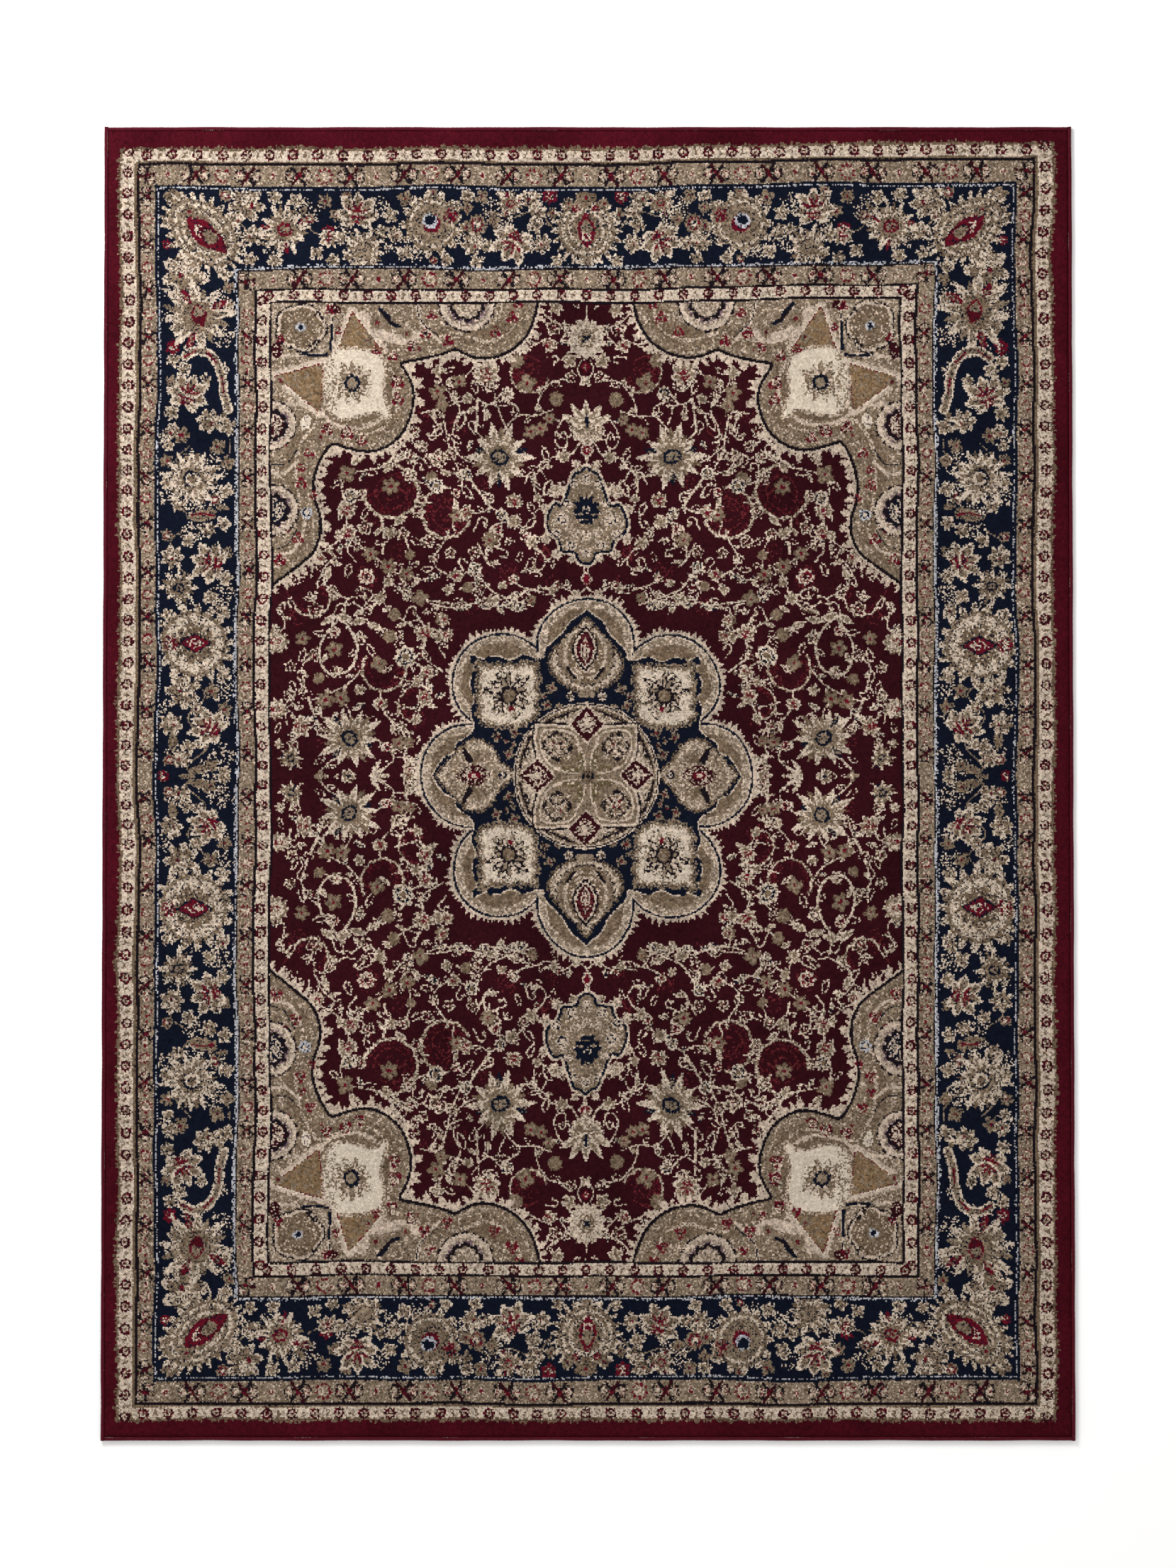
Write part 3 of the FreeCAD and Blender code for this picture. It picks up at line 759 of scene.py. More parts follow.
def mirrored(points):
    """A closed outline from its right-hand half, which starts and ends on the rug's middle line."""
    return points + [(-x, y) for x, y in reversed(points) if x > 0]


def mirrored_down(points):
    """A closed outline from its upper half, which starts and ends on the rug's cross line."""
    return points + [(x, -y) for x, y in reversed(points) if y > 0]


def shaded(area, colour, share):
    """Scatters a colour over an area, a share of its knots."""
    quarter[area & (random.random(quarter.shape) < share)] = colour


MEDALLION_GROUND = [
    (0, 0), (0, 291), (10, 283), (28, 269), (40, 248), (55, 233), (70, 218), (72, 203), (87, 200),
    (100, 205), (113, 206), (126, 200), (139, 199), (152, 205), (164, 206), (178, 201), (199, 209),
    (194, 194), (195, 180), (202, 166), (200, 154), (195, 140), (196, 128), (201, 115), (200, 103),
    (196, 90), (198, 77), (207, 66), (228, 53), (232, 38), (254, 26), (273, 0),
]
END_PALMETTE = mirrored([(0, 277), (14, 262), (30, 241), (44, 229), (58, 214), (64, 198), (60, 180),
    (48, 166),
                         (34, 157), (18, 150), (0, 146)])
SIDE_PALMETTE = mirrored_down([(130, 0), (140, 14), (152, 22), (160, 38), (172, 52), (190, 60), (208, 58),
                               (222, 46), (234, 36), (248, 22), (262, 7), (267, 0)])
SQUARE_OUTLINE = [
    (88, 193), (100, 191), (110, 194), (122, 189), (134, 192), (146, 188), (158, 193), (170, 189),
    (184, 197), (191, 190), (186, 176), (191, 162), (187, 148), (192, 134), (187, 120), (191, 106),
    (182, 92), (168, 87), (154, 83), (140, 86), (126, 84), (112, 88), (98, 96), (88, 110), (91, 124),
    (85, 138), (90, 152), (85, 166), (90, 180),
]


def veined_flower(x, y, size, heart=TAN, ring=OUTLINE, line=OUTLINE, count=13):
    """The flower set in a square: fine separate petal outlines round a ringed heart."""
    layers = [(grains(petals(count, 0.8, 0.5), 0.5), BEIGE), (grains(oval(0.55, 0.55), 0.4), TAN)]
    for index in range(count):
        angle, reach = 360 * index / count, 0.74 + 0.16 * math.sin(4 * index)
        layers += [(leaf(reach, 0.115, 0, 0.12, angle), CREAM if index % 3 else BEIGE),
                   (grains(leaf(reach, 0.115, 0, 0.12, angle, hollow=0.055), 0.85), line)]
    layers += [(petals(9, 0.34, 0.26), ring), (oval(0.22, 0.22), heart), (grains(oval(0.2, 0.2), 0.3), BEIGE)]
    stamp(x, y, size, 0, layers)


def draw_end_palmette():
    """The flower head at each end of the medallion: a ringed burgundy heart on cream."""
    quarter[filled(END_PALMETTE)] = CREAM
    shaded(filled(END_PALMETTE), BEIGE, 0.3)
    shaded_line(END_PALMETTE, 5, TAN)
    stamp(0, 209, 64, 0, [
        (petals(26, 0.84, 0.76, 0.8), OUTLINE),
        (petals(26, 0.81, 0.73, 0.8), BEIGE),
        (grains(oval(0.74, 0.8), 0.5), TAN),
        (grains(hoop(0.62, 0.76, 0.16, 0, 0.05), 0.8), CREAM),
        (oval(0.5, 0.66, 0, 0.08), TAN),
        (grains(oval(0.46, 0.62, 0, 0.08), 0.35), CREAM),
        (leaf(1.24, 0.37, 0, -0.42), OUTLINE),
        (leaf(1.1, 0.31, 0, -0.35), CREAM),
        (leaf(1.0, 0.26, 0, -0.3), BURGUNDY),
        (grains(leaf(0.9, 0.22, 0, -0.26), 0.35), ROSE),
        (leaf(0.7, 0.13, 0, -0.2, hollow=0.05), CREAM),
        (leaf(0.44, 0.05, 0, -0.08), CREAM),
        (oval(0.16, 0.07, 0, -0.66), TAN),
        (bar(-0.5, -0.35, -0.3, -0.6, 0.04), OUTLINE),
        (bar(0.5, -0.35, 0.3, -0.6, 0.04), OUTLINE),
    ])
    quarter[filled(mirrored([(0, 152), (12, 148), (14, 139), (0, 138)]))] = BEIGE


def draw_side_palmette():
    """The flower head at each side of the medallion: a burgundy eye in a beige fan."""
    quarter[filled(SIDE_PALMETTE)] = CREAM
    shaded(filled(SIDE_PALMETTE), BEIGE, 0.35)
    shaded_line(SIDE_PALMETTE, 4, TAN)
    stamp(200, 0, 58, -90, [
        (grains(petals(18, 0.92, 0.74), 0.6), BEIGE),
        (grains(oval(0.66, 0.86), 0.4), TAN),
        (hoop(0.6, 0.8, 0.1), BEIGE),
        (leaf(0.85, 0.1, -0.12, -0.05, 62), OUTLINE),
        (leaf(0.85, 0.1, 0.12, -0.05, -62), OUTLINE),
        (leaf(0.7, 0.08, -0.1, 0.1, 118), TAN),
        (leaf(0.7, 0.08, 0.1, 0.1, -118), TAN),
        (oval(0.34, 0.6, 0, -0.05), BEIGE),
        (grains(oval(0.36, 0.62, 0, -0.05), 0.4), CREAM),
        (leaf(1.1, 0.3, 0, -0.55, hollow=0.05), BURGUNDY),
        (leaf(0.9, 0.23, 0, -0.45), BURGUNDY),
        (grains(leaf(0.8, 0.2, 0, -0.42), 0.4), CREAM),
        (leaf(0.5, 0.1, 0, -0.26), RED),
        (oval(0.07, 0.1), CREAM),
    ])
    stamp(148, 0, 7, 0, [(oval(1, 1), NAVY), (oval(0.5, 0.5), CREAM)])


def draw_square():
    """The pale square between two flower heads, with one large veined flower and six curls."""
    outline = filled(SQUARE_OUTLINE)
    quarter[outline] = IVORY
    shaded(outline, CREAM, 0.4)
    for thick, colour in ((7, BEIGE), (4, TAN)):
        shaded_line(SQUARE_OUTLINE + SQUARE_OUTLINE[:1], thick, colour)
    veined_flower(138, 139, 52)
    for index in range(6):
        angle = math.radians(60 * index + 20)
        stamp(138 + 37 * math.sin(angle), 139 + 37 * math.cos(angle), 9, 50 * index, [
            (both(hoop(1, 0.8, 0.26), lambda u, v: u + v > -0.4), OUTLINE)])
    stamp(134, 115, 5, 0, [(oval(1, 1), RED)])


def draw_roundel():
    """The round panel in the middle, with red diamonds on its axes and a speckled heart in each quarter."""
    depth, run = lobed([ROUNDEL_DISC])
    for x, y, turn in ((0, 124, 0), (124, 0, -90)):
        stamp(x, y, 12, turn, [(leaf(1.6, 0.9, 0, -1.0), CREAM)])
    toothed(depth, run, 2, 5)
    quarter[depth > 0] = CREAM
    shaded(depth > 2, BEIGE, 0.35)
    lined(depth, 0, 1.8, OUTLINE)
    lined(depth, 6, 8, TAN)
    for points in (((14, 117), (34, 110), (56, 99), (72, 92)), ((117, 12), (112, 34), (103, 54), (95, 68))):
        shaded_line(points, 5, TAN)
        vine(*points, thick=1.5, colour=OUTLINE)
    for x, y, turn in ((40, 103, 66), (62, 98, 66), (105, 38, 20), (101, 60, 20)):
        stamp(x, y, 10, turn, [(leaf(2.2, 0.34, 0, -1, hollow=0.2), OUTLINE)])
    panel = [(28, 89), (60, 92), (90, 91), (95, 62), (88, 30), (60, 0), (0, 0), (0, 62)]
    quarter[filled(panel, curved=False)] = CREAM
    inner = filled([(28, 84), (58, 86), (85, 86), (89, 62), (83, 34), (58, 0), (0, 0), (0, 60)], curved=False)
    quarter[inner] = BEIGE
    shaded(inner, TAN, 0.35)
    vine((26, 90), (58, 92), (91, 91), thick=1.7, colour=OUTLINE)
    vine((91, 91), (94, 62), (89, 30), thick=1.7, colour=OUTLINE)
    heart = [(16, 16), (14, 44), (22, 72), (46, 80), (76, 76), (80, 48), (68, 22), (44, 12)]
    quarter[filled(heart)] = TAN
    shaded(filled(heart), BEIGE, 0.5)
    vine(*heart, thick=1.8, closed=True)
    stamp(52, 52, 27, 0, [
        (grains(petals(4, 1.05, 0.7, phase=math.pi / 4), 0.5), CREAM),
        (grains(both(petals(4, 1.0, 0.62), hoop(1, 1, 0.3)), 0.75), OUTLINE),
        (grains(spokes(4, 0.8, 0.1, 0.16, math.pi / 4), 0.6), OUTLINE),
        (grains(spokes(8, 0.6, 0.1, 0.09), 0.5), RED),
        (oval(0.14, 0.14), CREAM),
    ])
    for x, y, turn in ((30, 13, -90), (13, 30, 0)):
        stamp(x, y, 17, turn, [(grains(leaf(2.0, 0.34, 0, -1.0), 0.75), OLIVE)])
    for points in (((8, 5), (30, 6), (52, 11), (66, 20)), ((5, 8), (6, 30), (11, 48), (20, 58))):
        vine(*points, thick=1.3, colour=CREAM)
    for x, y, turn, tall in ((0, 92, 0, 31), (88, 0, -90, 30)):
        stamp(x, y, tall, turn, [
            (diamond(1.02, 1.12), CREAM),
            (diamond(0.92, 1.0), BURGUNDY),
            (both(diamond(0.7, 0.8), spokes(5, 0.9, 0.06, 0.1)), CREAM),
            (grains(diamond(0.62, 0.7), 0.4), CREAM),
            (oval(0.12, 0.3, 0, 0.1), CREAM),
        ])
    stamp(0, 0, 20, 0, [
        (grains(oval(1, 1), 0.5), BEIGE),
        (petals(8, 0.8, 0.55), TAN),
        (hoop(0.5, 0.5, 0.3), NAVY),
        (oval(0.2, 0.2), OUTLINE),
    ])


def shaded_line(points, thick, colour):
    """A soft broken stroke under a fine line."""
    before = quarter.copy()
    vine(*points, thick=thick, colour=colour)
    faded = (quarter != before) & (random.random(quarter.shape) < 0.5)
    quarter[faded] = before[faded]


def diamond(wide, tall):
    return lambda u, v: np.abs(u) / wide + np.abs(v) / tall < 1


def squiggles(area, colour, share):
    """Short light wavering strokes, as a heat-set yarn shows on a plain ground."""
    spots = np.argwhere(area)
    picks = spots[random.integers(0, len(spots), int(len(spots) * share))]
    for row, column in picks:
        angle, bend = random.uniform(0, math.pi), random.uniform(-1.2, 1.2)
        for step in range(6):
            across = int(column + step * math.cos(angle + bend * step / 5) + 0.5)
            along = int(row + step * math.sin(angle + bend * step / 5) + 0.5)
            if 0 <= along < quarter.shape[0] and 0 <= across < quarter.shape[1] and area[along, across]:
                quarter[along:along + 2, across] = colour


def draw_medallion():
    """The lobed band with its teeth, the navy ground and the panels set in it."""
    depth, run = lobed(MEDALLION_LOBES)
    toothed(depth, run, 15, 11)
    toothed(depth, run + 7, 9, 6.1)
    lined(depth, -4, 0, CREAM)
    lined(depth, 0, 3.6, NAVY)
    lined(depth, 3.6, 6, CREAM)
    quarter[depth > 6] = BEIGE
    squiggles((depth > 4) & (depth < 22), CREAM, 0.045)
    tan_half = depth > 18 + 1.5 * np.sin(run / 9)
    quarter[tan_half] = TAN
    squiggles(tan_half & (depth < 60), BEIGE, 0.02)
    ground = filled(MEDALLION_GROUND, curved=False)
    for thick, colour in ((4.0, CREAM), (1.6, NAVY)):
        vine(*MEDALLION_GROUND[1:], thick=thick, colour=colour)
    quarter[ground] = NAVY
    for x, y in MEDALLION_SCALLOPS:
        stamp(x, y, 6, 0, [(oval(1, 1), NAVY)])
    for x, y, size in MEDALLION_FLORETS:
        square_flower(x, y, size, 20, petal=BEIGE, heart=ROSE)
        stamp(x, y, size, 0, [(grains(oval(0.9, 0.9), 0.25), OUTLINE)])
    ringed_flower(28, 139, 8, ring=NAVY)
    draw_square()
    draw_end_palmette()
    draw_side_palmette()
    draw_roundel()


MEDALLION_FLORETS = [
    (126, 73, 11), (157, 65, 10), (136, 35, 11), (62, 152, 11), (71, 122, 10), (47, 120, 8), (96, 72, 6),
    (140, 58, 6), (75, 138, 6), (128, 52, 6),
]
MEDALLION_SCALLOPS = [
    (196, 202), (170, 203), (142, 197), (112, 203), (196, 178), (198, 150), (196, 118), (46, 236),
    (64, 216), (212, 60), (226, 44), (248, 26),
]

PENDANT_OUTLINE = mirrored([
    (0, 550), (10, 543), (20, 539), (26, 526), (33, 508), (38, 492), (45, 484), (57, 486), (66, 473),
    (70, 458),
    (69, 443), (62, 432), (52, 428), (46, 416), (42, 403), (30, 402), (17, 398), (13, 386), (0, 378),
])


def draw_pendant():
    """The pendant above the medallion: a tan shield with a navy crown of leaves."""
    vine(*PENDANT_OUTLINE, thick=6.5, closed=True)
    inside = filled(PENDANT_OUTLINE)
    shadow = quarter.copy()
    quarter[inside] = BEIGE
    shaded(inside, TAN, 0.4)
    vine(*PENDANT_OUTLINE, thick=2.4, colour=NAVY, closed=True)
    for x, y, size, turn in ((52, 508, 16, -30), (18, 555, 9, -10), (76, 478, 10, -60), (72, 424, 11, -120),
                             (52, 396, 11, -150), (24, 388, 9, 150)):
        lily(x, y, size, turn, streak=BEIGE, petal=CREAM)
    quarter[inside & (shadow == NAVY)] = TAN
    squiggles(inside & (quarter == BEIGE), CREAM, 0.04)
    crown = [(leaf(1.0, 0.2, 0, 0, angle), NAVY) for angle in (-100, -62, -26, 26, 62, 100)]
    crown += [(oval(0.4, 0.34), NAVY), (grains(oval(0.3, 0.26), 0.35), CREAM), (leaf(0.9, 0.14, 0, 0), NAVY),
              (bar(-0.62, -0.5, 0.62, -0.5, 0.14), NAVY), (bar(-0.34, -0.8, 0.34, -0.8, 0.12), NAVY)]
    stamp(0, 478, 27, 0, crown)
    for x, y, size in ((0, 530, 8), (22, 522, 8), (44, 460, 12), (53, 433, 10), (26, 413, 10), (0, 398, 8),
                       (34, 488, 7)):
        ringed_flower(x, y, size, ring=NAVY, petal=CREAM, heart=CREAM)
    for x, y, size in ((0, 432, 10), (22, 438, 8), (12, 548, 5), (60, 452, 6)):
        ringed_flower(x, y, size, ring=TAN, petal=CREAM, heart=BEIGE)


CORNER_OUTLINE = [
    (84, 840), (92, 812), (104, 785), (122, 764), (146, 749), (175, 742), (200, 744), (220, 752),
    (234, 757), (252, 750), (274, 744), (300, 738), (326, 732), (316, 712), (307, 690), (305, 668),
    (311, 640), (324, 612), (344, 592), (366, 581), (390, 578), (418, 584), (446, 592), (462, 572),
    (474, 545), (480, 517), (477, 490), (469, 466), (467, 444), (470, 424), (480, 402), (496, 386),
    (520, 368), (556, 342), (556, 840),
]


def dotted_red_line(*points):
    """A fine line of alternate dark and bare knots."""
    before = quarter.copy()
    vine(*points, thick=1.1, colour=RED)
    bare = (quarter != before) & ((COLUMNS + ROWS).astype(int) % 5 < 2)
    quarter[bare] = before[bare]


def draw_corner():
    """A corner piece: a pale square, gold points and half flowers on a tan ground."""
    area = filled(CORNER_OUTLINE, curved=False)
    vine(*CORNER_OUTLINE[:-1], thick=6, colour=CREAM)
    flamed(CORNER_OUTLINE[:-1], 5.5, 19)
    quarter[area] = BEIGE
    shaded(area, TAN, 0.35)
    vine(*CORNER_OUTLINE[:-1], thick=2.6, colour=OUTLINE)
    inner_line = [(118, 838), (126, 806), (146, 782), (176, 772), (206, 778), (236, 786), (280, 774),
    (350, 770),
                  (350, 730), (336, 690), (338, 650), (358, 622), (392, 610), (430, 620), (470, 632),
                  (500, 590),
                  (510, 540), (506, 490), (496, 450), (512, 410), (556, 372)]
    shaded_line(inner_line, 14, TAN)
    shaded_line(inner_line, 3, CREAM)
    squiggles(area & (quarter == BEIGE), CREAM, 0.04)
    for points in CORNER_SHADES:
        quarter[filled(points)] = TAN
        squiggles(filled(points), BEIGE, 0.03)
    vine((397, 818), (372, 792), (350, 780), (322, 776), (300, 784), thick=9, colour=CREAM)
    for points in CORNER_POINTS:
        apex, left, right = points
        for start, stop in ((left, apex), (apex, right)):
            vine(start, stop, thick=9, colour=CREAM)
            vine(start, stop, thick=3, colour=IVORY)
        quarter[filled(points, curved=False)] = GOLD
        squiggles(filled(points, curved=False), BEIGE, 0.03)
        for start, stop in ((left, apex), (apex, right), (right, left)):
            dotted_red_line(start, stop)
    for points in CORNER_BROAD_LINES:
        vine(*points, thick=2.6, colour=CREAM)
    for points in CORNER_FINE_LINES:
        vine(*points, thick=0.9, colour=NAVY)
    vine((366, 830), (352, 818), (346, 806), (331, 799), thick=3.4, colour=NAVY)
    vine((362, 824), (350, 811), (340, 803), thick=2.4, colour=OUTLINE)
    pale = filled(CORNER_SQUARE)
    shaded_line(CORNER_SQUARE[2:8], 16, TAN)
    shaded_line(CORNER_SQUARE + CORNER_SQUARE[:1], 6, CREAM)
    quarter[pale] = IVORY
    shaded(pale & (COLUMNS > 440), BEIGE, 0.35)
    veined_flower(413, 699, 46, heart=BEIGE, ring=NAVY, line=TAN, count=11)
    stamp(413, 699, 46, 0, [(grains(hoop(0.3, 0.3, 0.35), 0.85), NAVY), (oval(0.13, 0.13), BEIGE)])
    block = filled([(457, 752), (457, 836), (552, 836), (552, 752)], curved=False)
    quarter[block] = BEIGE
    shaded(block, CREAM, 0.35)
    for x, y, wide, tall in ((447, 828, 12, 8), (545, 752, 9, 14)):
        stamp(x, y, wide, 0, [
            (oval(1.0, tall / wide), BURGUNDY), (grains(oval(0.7, 0.6 * tall / wide), 0.2), CREAM)])
    stamp(505, 793, 44, 20, [
        (petals(5, 1.04, 0.9, 0.7), OUTLINE), (petals(5, 0.98, 0.84, 0.7), CREAM),
        (petals(5, 0.86, 0.72, 0.7), TAN), (grains(petals(5, 0.8, 0.66), 0.25), CREAM),
        (grains(oval(0.42, 0.42), 0.3), BEIGE), (oval(0.2, 0.17), WHITE), (oval(0.1, 0.12), NAVY),
    ])
    vine((453, 799), (452, 776), (454, 756), thick=2.4, colour=NAVY)
    vine((500, 746), (478, 744), (457, 747), thick=2.4, colour=NAVY)
    for x, y in ((480, 768), (488, 760), (535, 768), (478, 820)):
        stamp(x, y, 8, 40, [(leaf(2, 0.3, 0, -1), OUTLINE)])
    for place in CORNER_RED_FLORETS:
        red_floret(*place)
    for x, y, size in CORNER_BLOSSOMS:
        stamp(x, y, size, x, [
            (grains(petals(5, 1.0, 0.6), 0.45), GARNET), (grains(oval(0.6, 0.6), 0.4), CREAM)])
    for place in CORNER_TAN_DISCS:
        ringed_flower(*place, ring=TAN, petal=BEIGE, heart=ROSE)
    stamp(493, 631, 16, 10, [
        (oval(0.7, 1.0), TAN), (oval(0.55, 0.85), IVORY), (grains(oval(0.4, 0.6), 0.3), MAUVE)])
    ringed_flower(492, 470, 11, ring=NAVY, petal=WHITE, heart=CREAM)
    half_round(213, 838, 48, 0, core=BEIGE)
    half_round(553, 624, 42, 90, core=GARNET)
    half_round(553, 474, 44, 90, core=NAVY)


def half_round(x, y, size, turn, core):
    """A half flower cut by the border: pale and mauve rings, a dark scallop and a speckled core."""
    stamp(x, y, size, turn, [
        (petals(16, 1.08, 1.0), OUTLINE),
        (oval(1.0, 1.0), CREAM),
        (grains(oval(0.84, 0.84), 0.55), BEIGE),
        (grains(oval(0.76, 0.76), 0.45), MAUVE),
        (petals(10, 0.7, 0.58), OUTLINE),
        (petals(10, 0.55, 0.44), core),
        (grains(oval(0.5, 0.5), 0.45), CREAM),
    ])


def red_floret(x, y, size):
    """A fine three-petalled flower in dark red line."""
    stamp(x, y, size, 0, [
        (grains(oval(0.9, 0.9), 0.4), CREAM),
        (grains(both(petals(3, 1.0, 0.5), hoop(1.0, 1.0, 0.45)), 0.85), RED),
        (grains(oval(0.55, 0.5), 0.5), RED),
        (oval(0.16, 0.16), OUTLINE),
    ])


CORNER_BLOSSOMS = [
    (333, 701, 12), (334, 669, 11), (456, 617, 11), (421, 614, 12), (399, 600, 11), (308, 764, 11),
    (340, 750, 10),
]
CORNER_SQUARE = [
    (446, 752), (420, 757), (386, 754), (362, 742), (357, 716), (362, 690), (358, 664), (352, 636),
    (372, 650), (400, 645), (430, 640), (452, 652), (460, 690), (459, 728),
]
CORNER_POINTS = [[(416, 825), (442, 753), (359, 755)], [(549, 708), (463, 732), (469, 648)]]
CORNER_SHADES = [
    [(345, 690), (352, 655), (380, 634), (414, 628), (450, 636), (470, 660), (440, 646), (410, 640),
     (378, 650), (360, 676)],
    [(130, 800), (150, 782), (180, 778), (200, 790), (176, 796), (150, 806)],
    [(500, 600), (515, 570), (516, 530), (508, 500), (524, 520), (528, 560), (516, 596)],
]
CORNER_BROAD_LINES = [
    ((260, 770), (290, 800), (300, 838)), ((362, 836), (372, 800), (356, 760)),
    ((350, 742), (340, 700), (350, 652), (390, 622), (440, 628), (470, 650)),
    ((460, 640), (500, 660), (554, 660)), ((448, 836), (452, 800), (446, 752)),
    ((470, 748), (510, 744), (554, 740)), ((505, 560), (530, 540), (554, 540)),
    ((500, 430), (520, 400), (554, 394)),
]
CORNER_FINE_LINES = [
    ((451, 751), (451, 799)), ((457, 745), (505, 745)), ((300, 838), (292, 806), (262, 780)),
    ((554, 556), (526, 556), (506, 580)), ((554, 402), (528, 412), (510, 440)), ((446, 838), (452, 806)),
    ((534, 751), (554, 748)),
]
CORNER_RED_FLORETS = [
    (333, 697, 13), (334, 668, 12), (457, 618, 11), (421, 611, 12), (397, 598, 10), (370, 756, 9),
    (341, 745, 10), (286, 786, 11), (307, 761, 10), (246, 772, 10), (133, 812, 12), (163, 787, 11),
    (486, 575, 10), (501, 521, 11), (508, 423, 11), (543, 384, 12), (275, 818, 9), (500, 548, 8),
    (480, 500, 8), (530, 440, 9), (120, 836, 9), (440, 790, 8), (456, 826, 9), (538, 772, 8),
]
CORNER_TAN_DISCS = [
    (370, 806, 15), (318, 786, 11), (384, 775, 9), (466, 604, 10), (527, 590, 11), (540, 700, 10),
    (296, 758, 9),
]


# --- The field: scrolls, stems and flowers on burgundy ------------------------------------------------

def outline_leaf(x, y, size, turn):
    """A leaf drawn as a fine line only."""
    stamp(x, y, size, turn, [
        (leaf(2.0, 0.42, 0, -1.0), BURGUNDY), (leaf(2.0, 0.42, 0, -1.0, hollow=0.16), CREAM)])


def outline_flower(x, y, size):
    """A flower drawn as a fine line, with a dotted heart."""
    def rim(u, v):
        reach = np.hypot(u, v)
        edge = 0.66 + 0.34 * np.abs(np.cos((np.arctan2(u, v)) * 5 / 2))
        return (reach < edge) & (reach > edge - 0.2)
    stamp(x, y, size, 0, [
        (grains(petals(5, 0.9, 0.5), 0.3), TAN),
        (rim, CREAM),
        (grains(oval(0.36, 0.36), 0.6), CREAM),
        (oval(0.14, 0.14), RED),
    ])


def navy_leaf(x, y, size, turn):
    """A leaf of navy and pale dabs."""
    stamp(x, y, size, turn, [
        (leaf(2.0, 0.4, 0, -1.0), CREAM),
        (grains(leaf(1.8, 0.32, 0, -0.9), 0.55), NAVY),
        (grains(leaf(1.6, 0.2, 0, -0.8), 0.3), BEIGE),
    ])


def hook(x, y, size, turn, mirror=1):
    """A small curled tendril with a leaf at its tip."""
    def turned(points):
        cos, sin = math.cos(math.radians(turn)), math.sin(math.radians(turn))
        return [(x + size * (cos * mirror * u - sin * v), y + size * (sin * mirror * u + cos * v))
                for u, v in points]
    vine(*turned([(-0.3, -1.0), (0.1, -0.4), (0.55, 0.1), (0.5, 0.7), (0.0, 0.9), (-0.4, 0.5)]), thick=1.2)
    tip_x, tip_y = turned([(-0.4, 0.45)])[0]
    stamp(tip_x, tip_y, 0.34 * size, turn, [(oval(1.0, 0.7), CREAM), (grains(oval(0.8, 0.5), 0.5), BEIGE)])


def open_palmette(x, y, size):
    """A crown of five pointed petals over a speckled cup, with a dark drop in the middle."""
    layers = [(oval(0.7, 0.62, 0, -0.5), BEIGE), (grains(oval(0.8, 0.7, 0, -0.5), 0.4), CREAM)]
    for angle in (-62, -32, 0, 32, 62):
        layers.append((leaf(1.35, 0.2, 0, -0.4, angle), CREAM))
        layers.append((leaf(1.05, 0.11, 0, -0.3, angle), BEIGE))
    layers += [(leaf(0.9, 0.2, 0, -0.45), BEIGE), (leaf(0.62, 0.13, 0, -0.3), NAVY)]
    stamp(x, y, size, 0, layers)


LEAF_PITCH = 25


def leafed(points):
    """Leaves that branch from a stem by turns, now a fine outline, now solid."""
    for index, (x, y, way) in enumerate(walked(points, LEAF_PITCH)):
        side = -1 if index % 2 else 1
        size, turn = 8 + 3 * math.sin(x + y), math.degrees(way) - 90 + 48 * side
        tip_x = x - 1.1 * size * math.sin(math.radians(turn))
        tip_y = y + 1.1 * size * math.cos(math.radians(turn))
        (outline_leaf, full_leaf, outline_leaf, navy_leaf)[round(x + y) % 4](tip_x, tip_y, size, turn)


def draw_field():
    """Everything on the burgundy field, from the faintest line to the largest flower."""
    for place in FIELD_SKETCHES:
        faint_sketch(*place)
    for points in FIELD_RED_VINES:
        vine(*points, thick=1.0, colour=ROSE)
    for points in FIELD_VINES:
        vine(*points, thick=1.3)
        leafed(points)
    for points in FIELD_STEMS:
        vine(*points, thick=2.1)
        leafed(points)
    for place in FIELD_SCROLLS:
        big_scroll(*place)
    for place in FIELD_OUTLINE_LEAVES:
        outline_leaf(*place)
    for place in FIELD_FULL_LEAVES:
        full_leaf(*place)
    for place in FIELD_NAVY_LEAVES:
        navy_leaf(*place)
    for place in FIELD_HOOKS:
        hook(*place)
    for place in FIELD_SPRIGS:
        sprig(*place)
    for place in FIELD_OUTLINE_FLOWERS:
        outline_flower(*place)
    for place in FIELD_RED_RINGS:
        ringed_flower(*place, petal=CREAM, ring=RED, heart=BURGUNDY)
    for place in FIELD_TAN_DISCS:
        stamp(*place, 0, [(petals(7, 1.0, 0.86), TAN), (grains(oval(0.9, 0.9), 0.4), BEIGE)])
    for place in FIELD_TAN_FLOWERS:
        flower(*place, petal=TAN, heart=RED, ring=BEIGE)
    for place in FIELD_CREAM_FLOWERS[::2]:
        flower(*place, petal=CREAM, heart=TAN, ring=BEIGE)
    for place in FIELD_CREAM_FLOWERS[1::2]:
        outline_flower(*place)
    for place in FIELD_LILIES:
        lily(*place)
    for place in FIELD_NAVY_FLOWERS:
        ringed_flower(*place, petal=CREAM, ring=NAVY, heart=TAN)
    for place in FIELD_STARS:
        star_flower(*place, count=10)
    draw_field_axis()
    # Paler and darker knots over the pale yarns: partly their own tone, partly painted light and shade.
    tone_and_light_mottle()


def tone_and_light_mottle():
    """Breaks up the pale yarns of the field, partly by their own uneven tone, partly with painted light and
    shade, as no two knots catch the light alike.
    """
    field = within_line("field")
    shaded(field & (quarter == CREAM), BEIGE, 0.12)
    shaded(field & (quarter == BEIGE), TAN, 0.2)
    shaded(field & (quarter == CREAM), IVORY, 0.3)


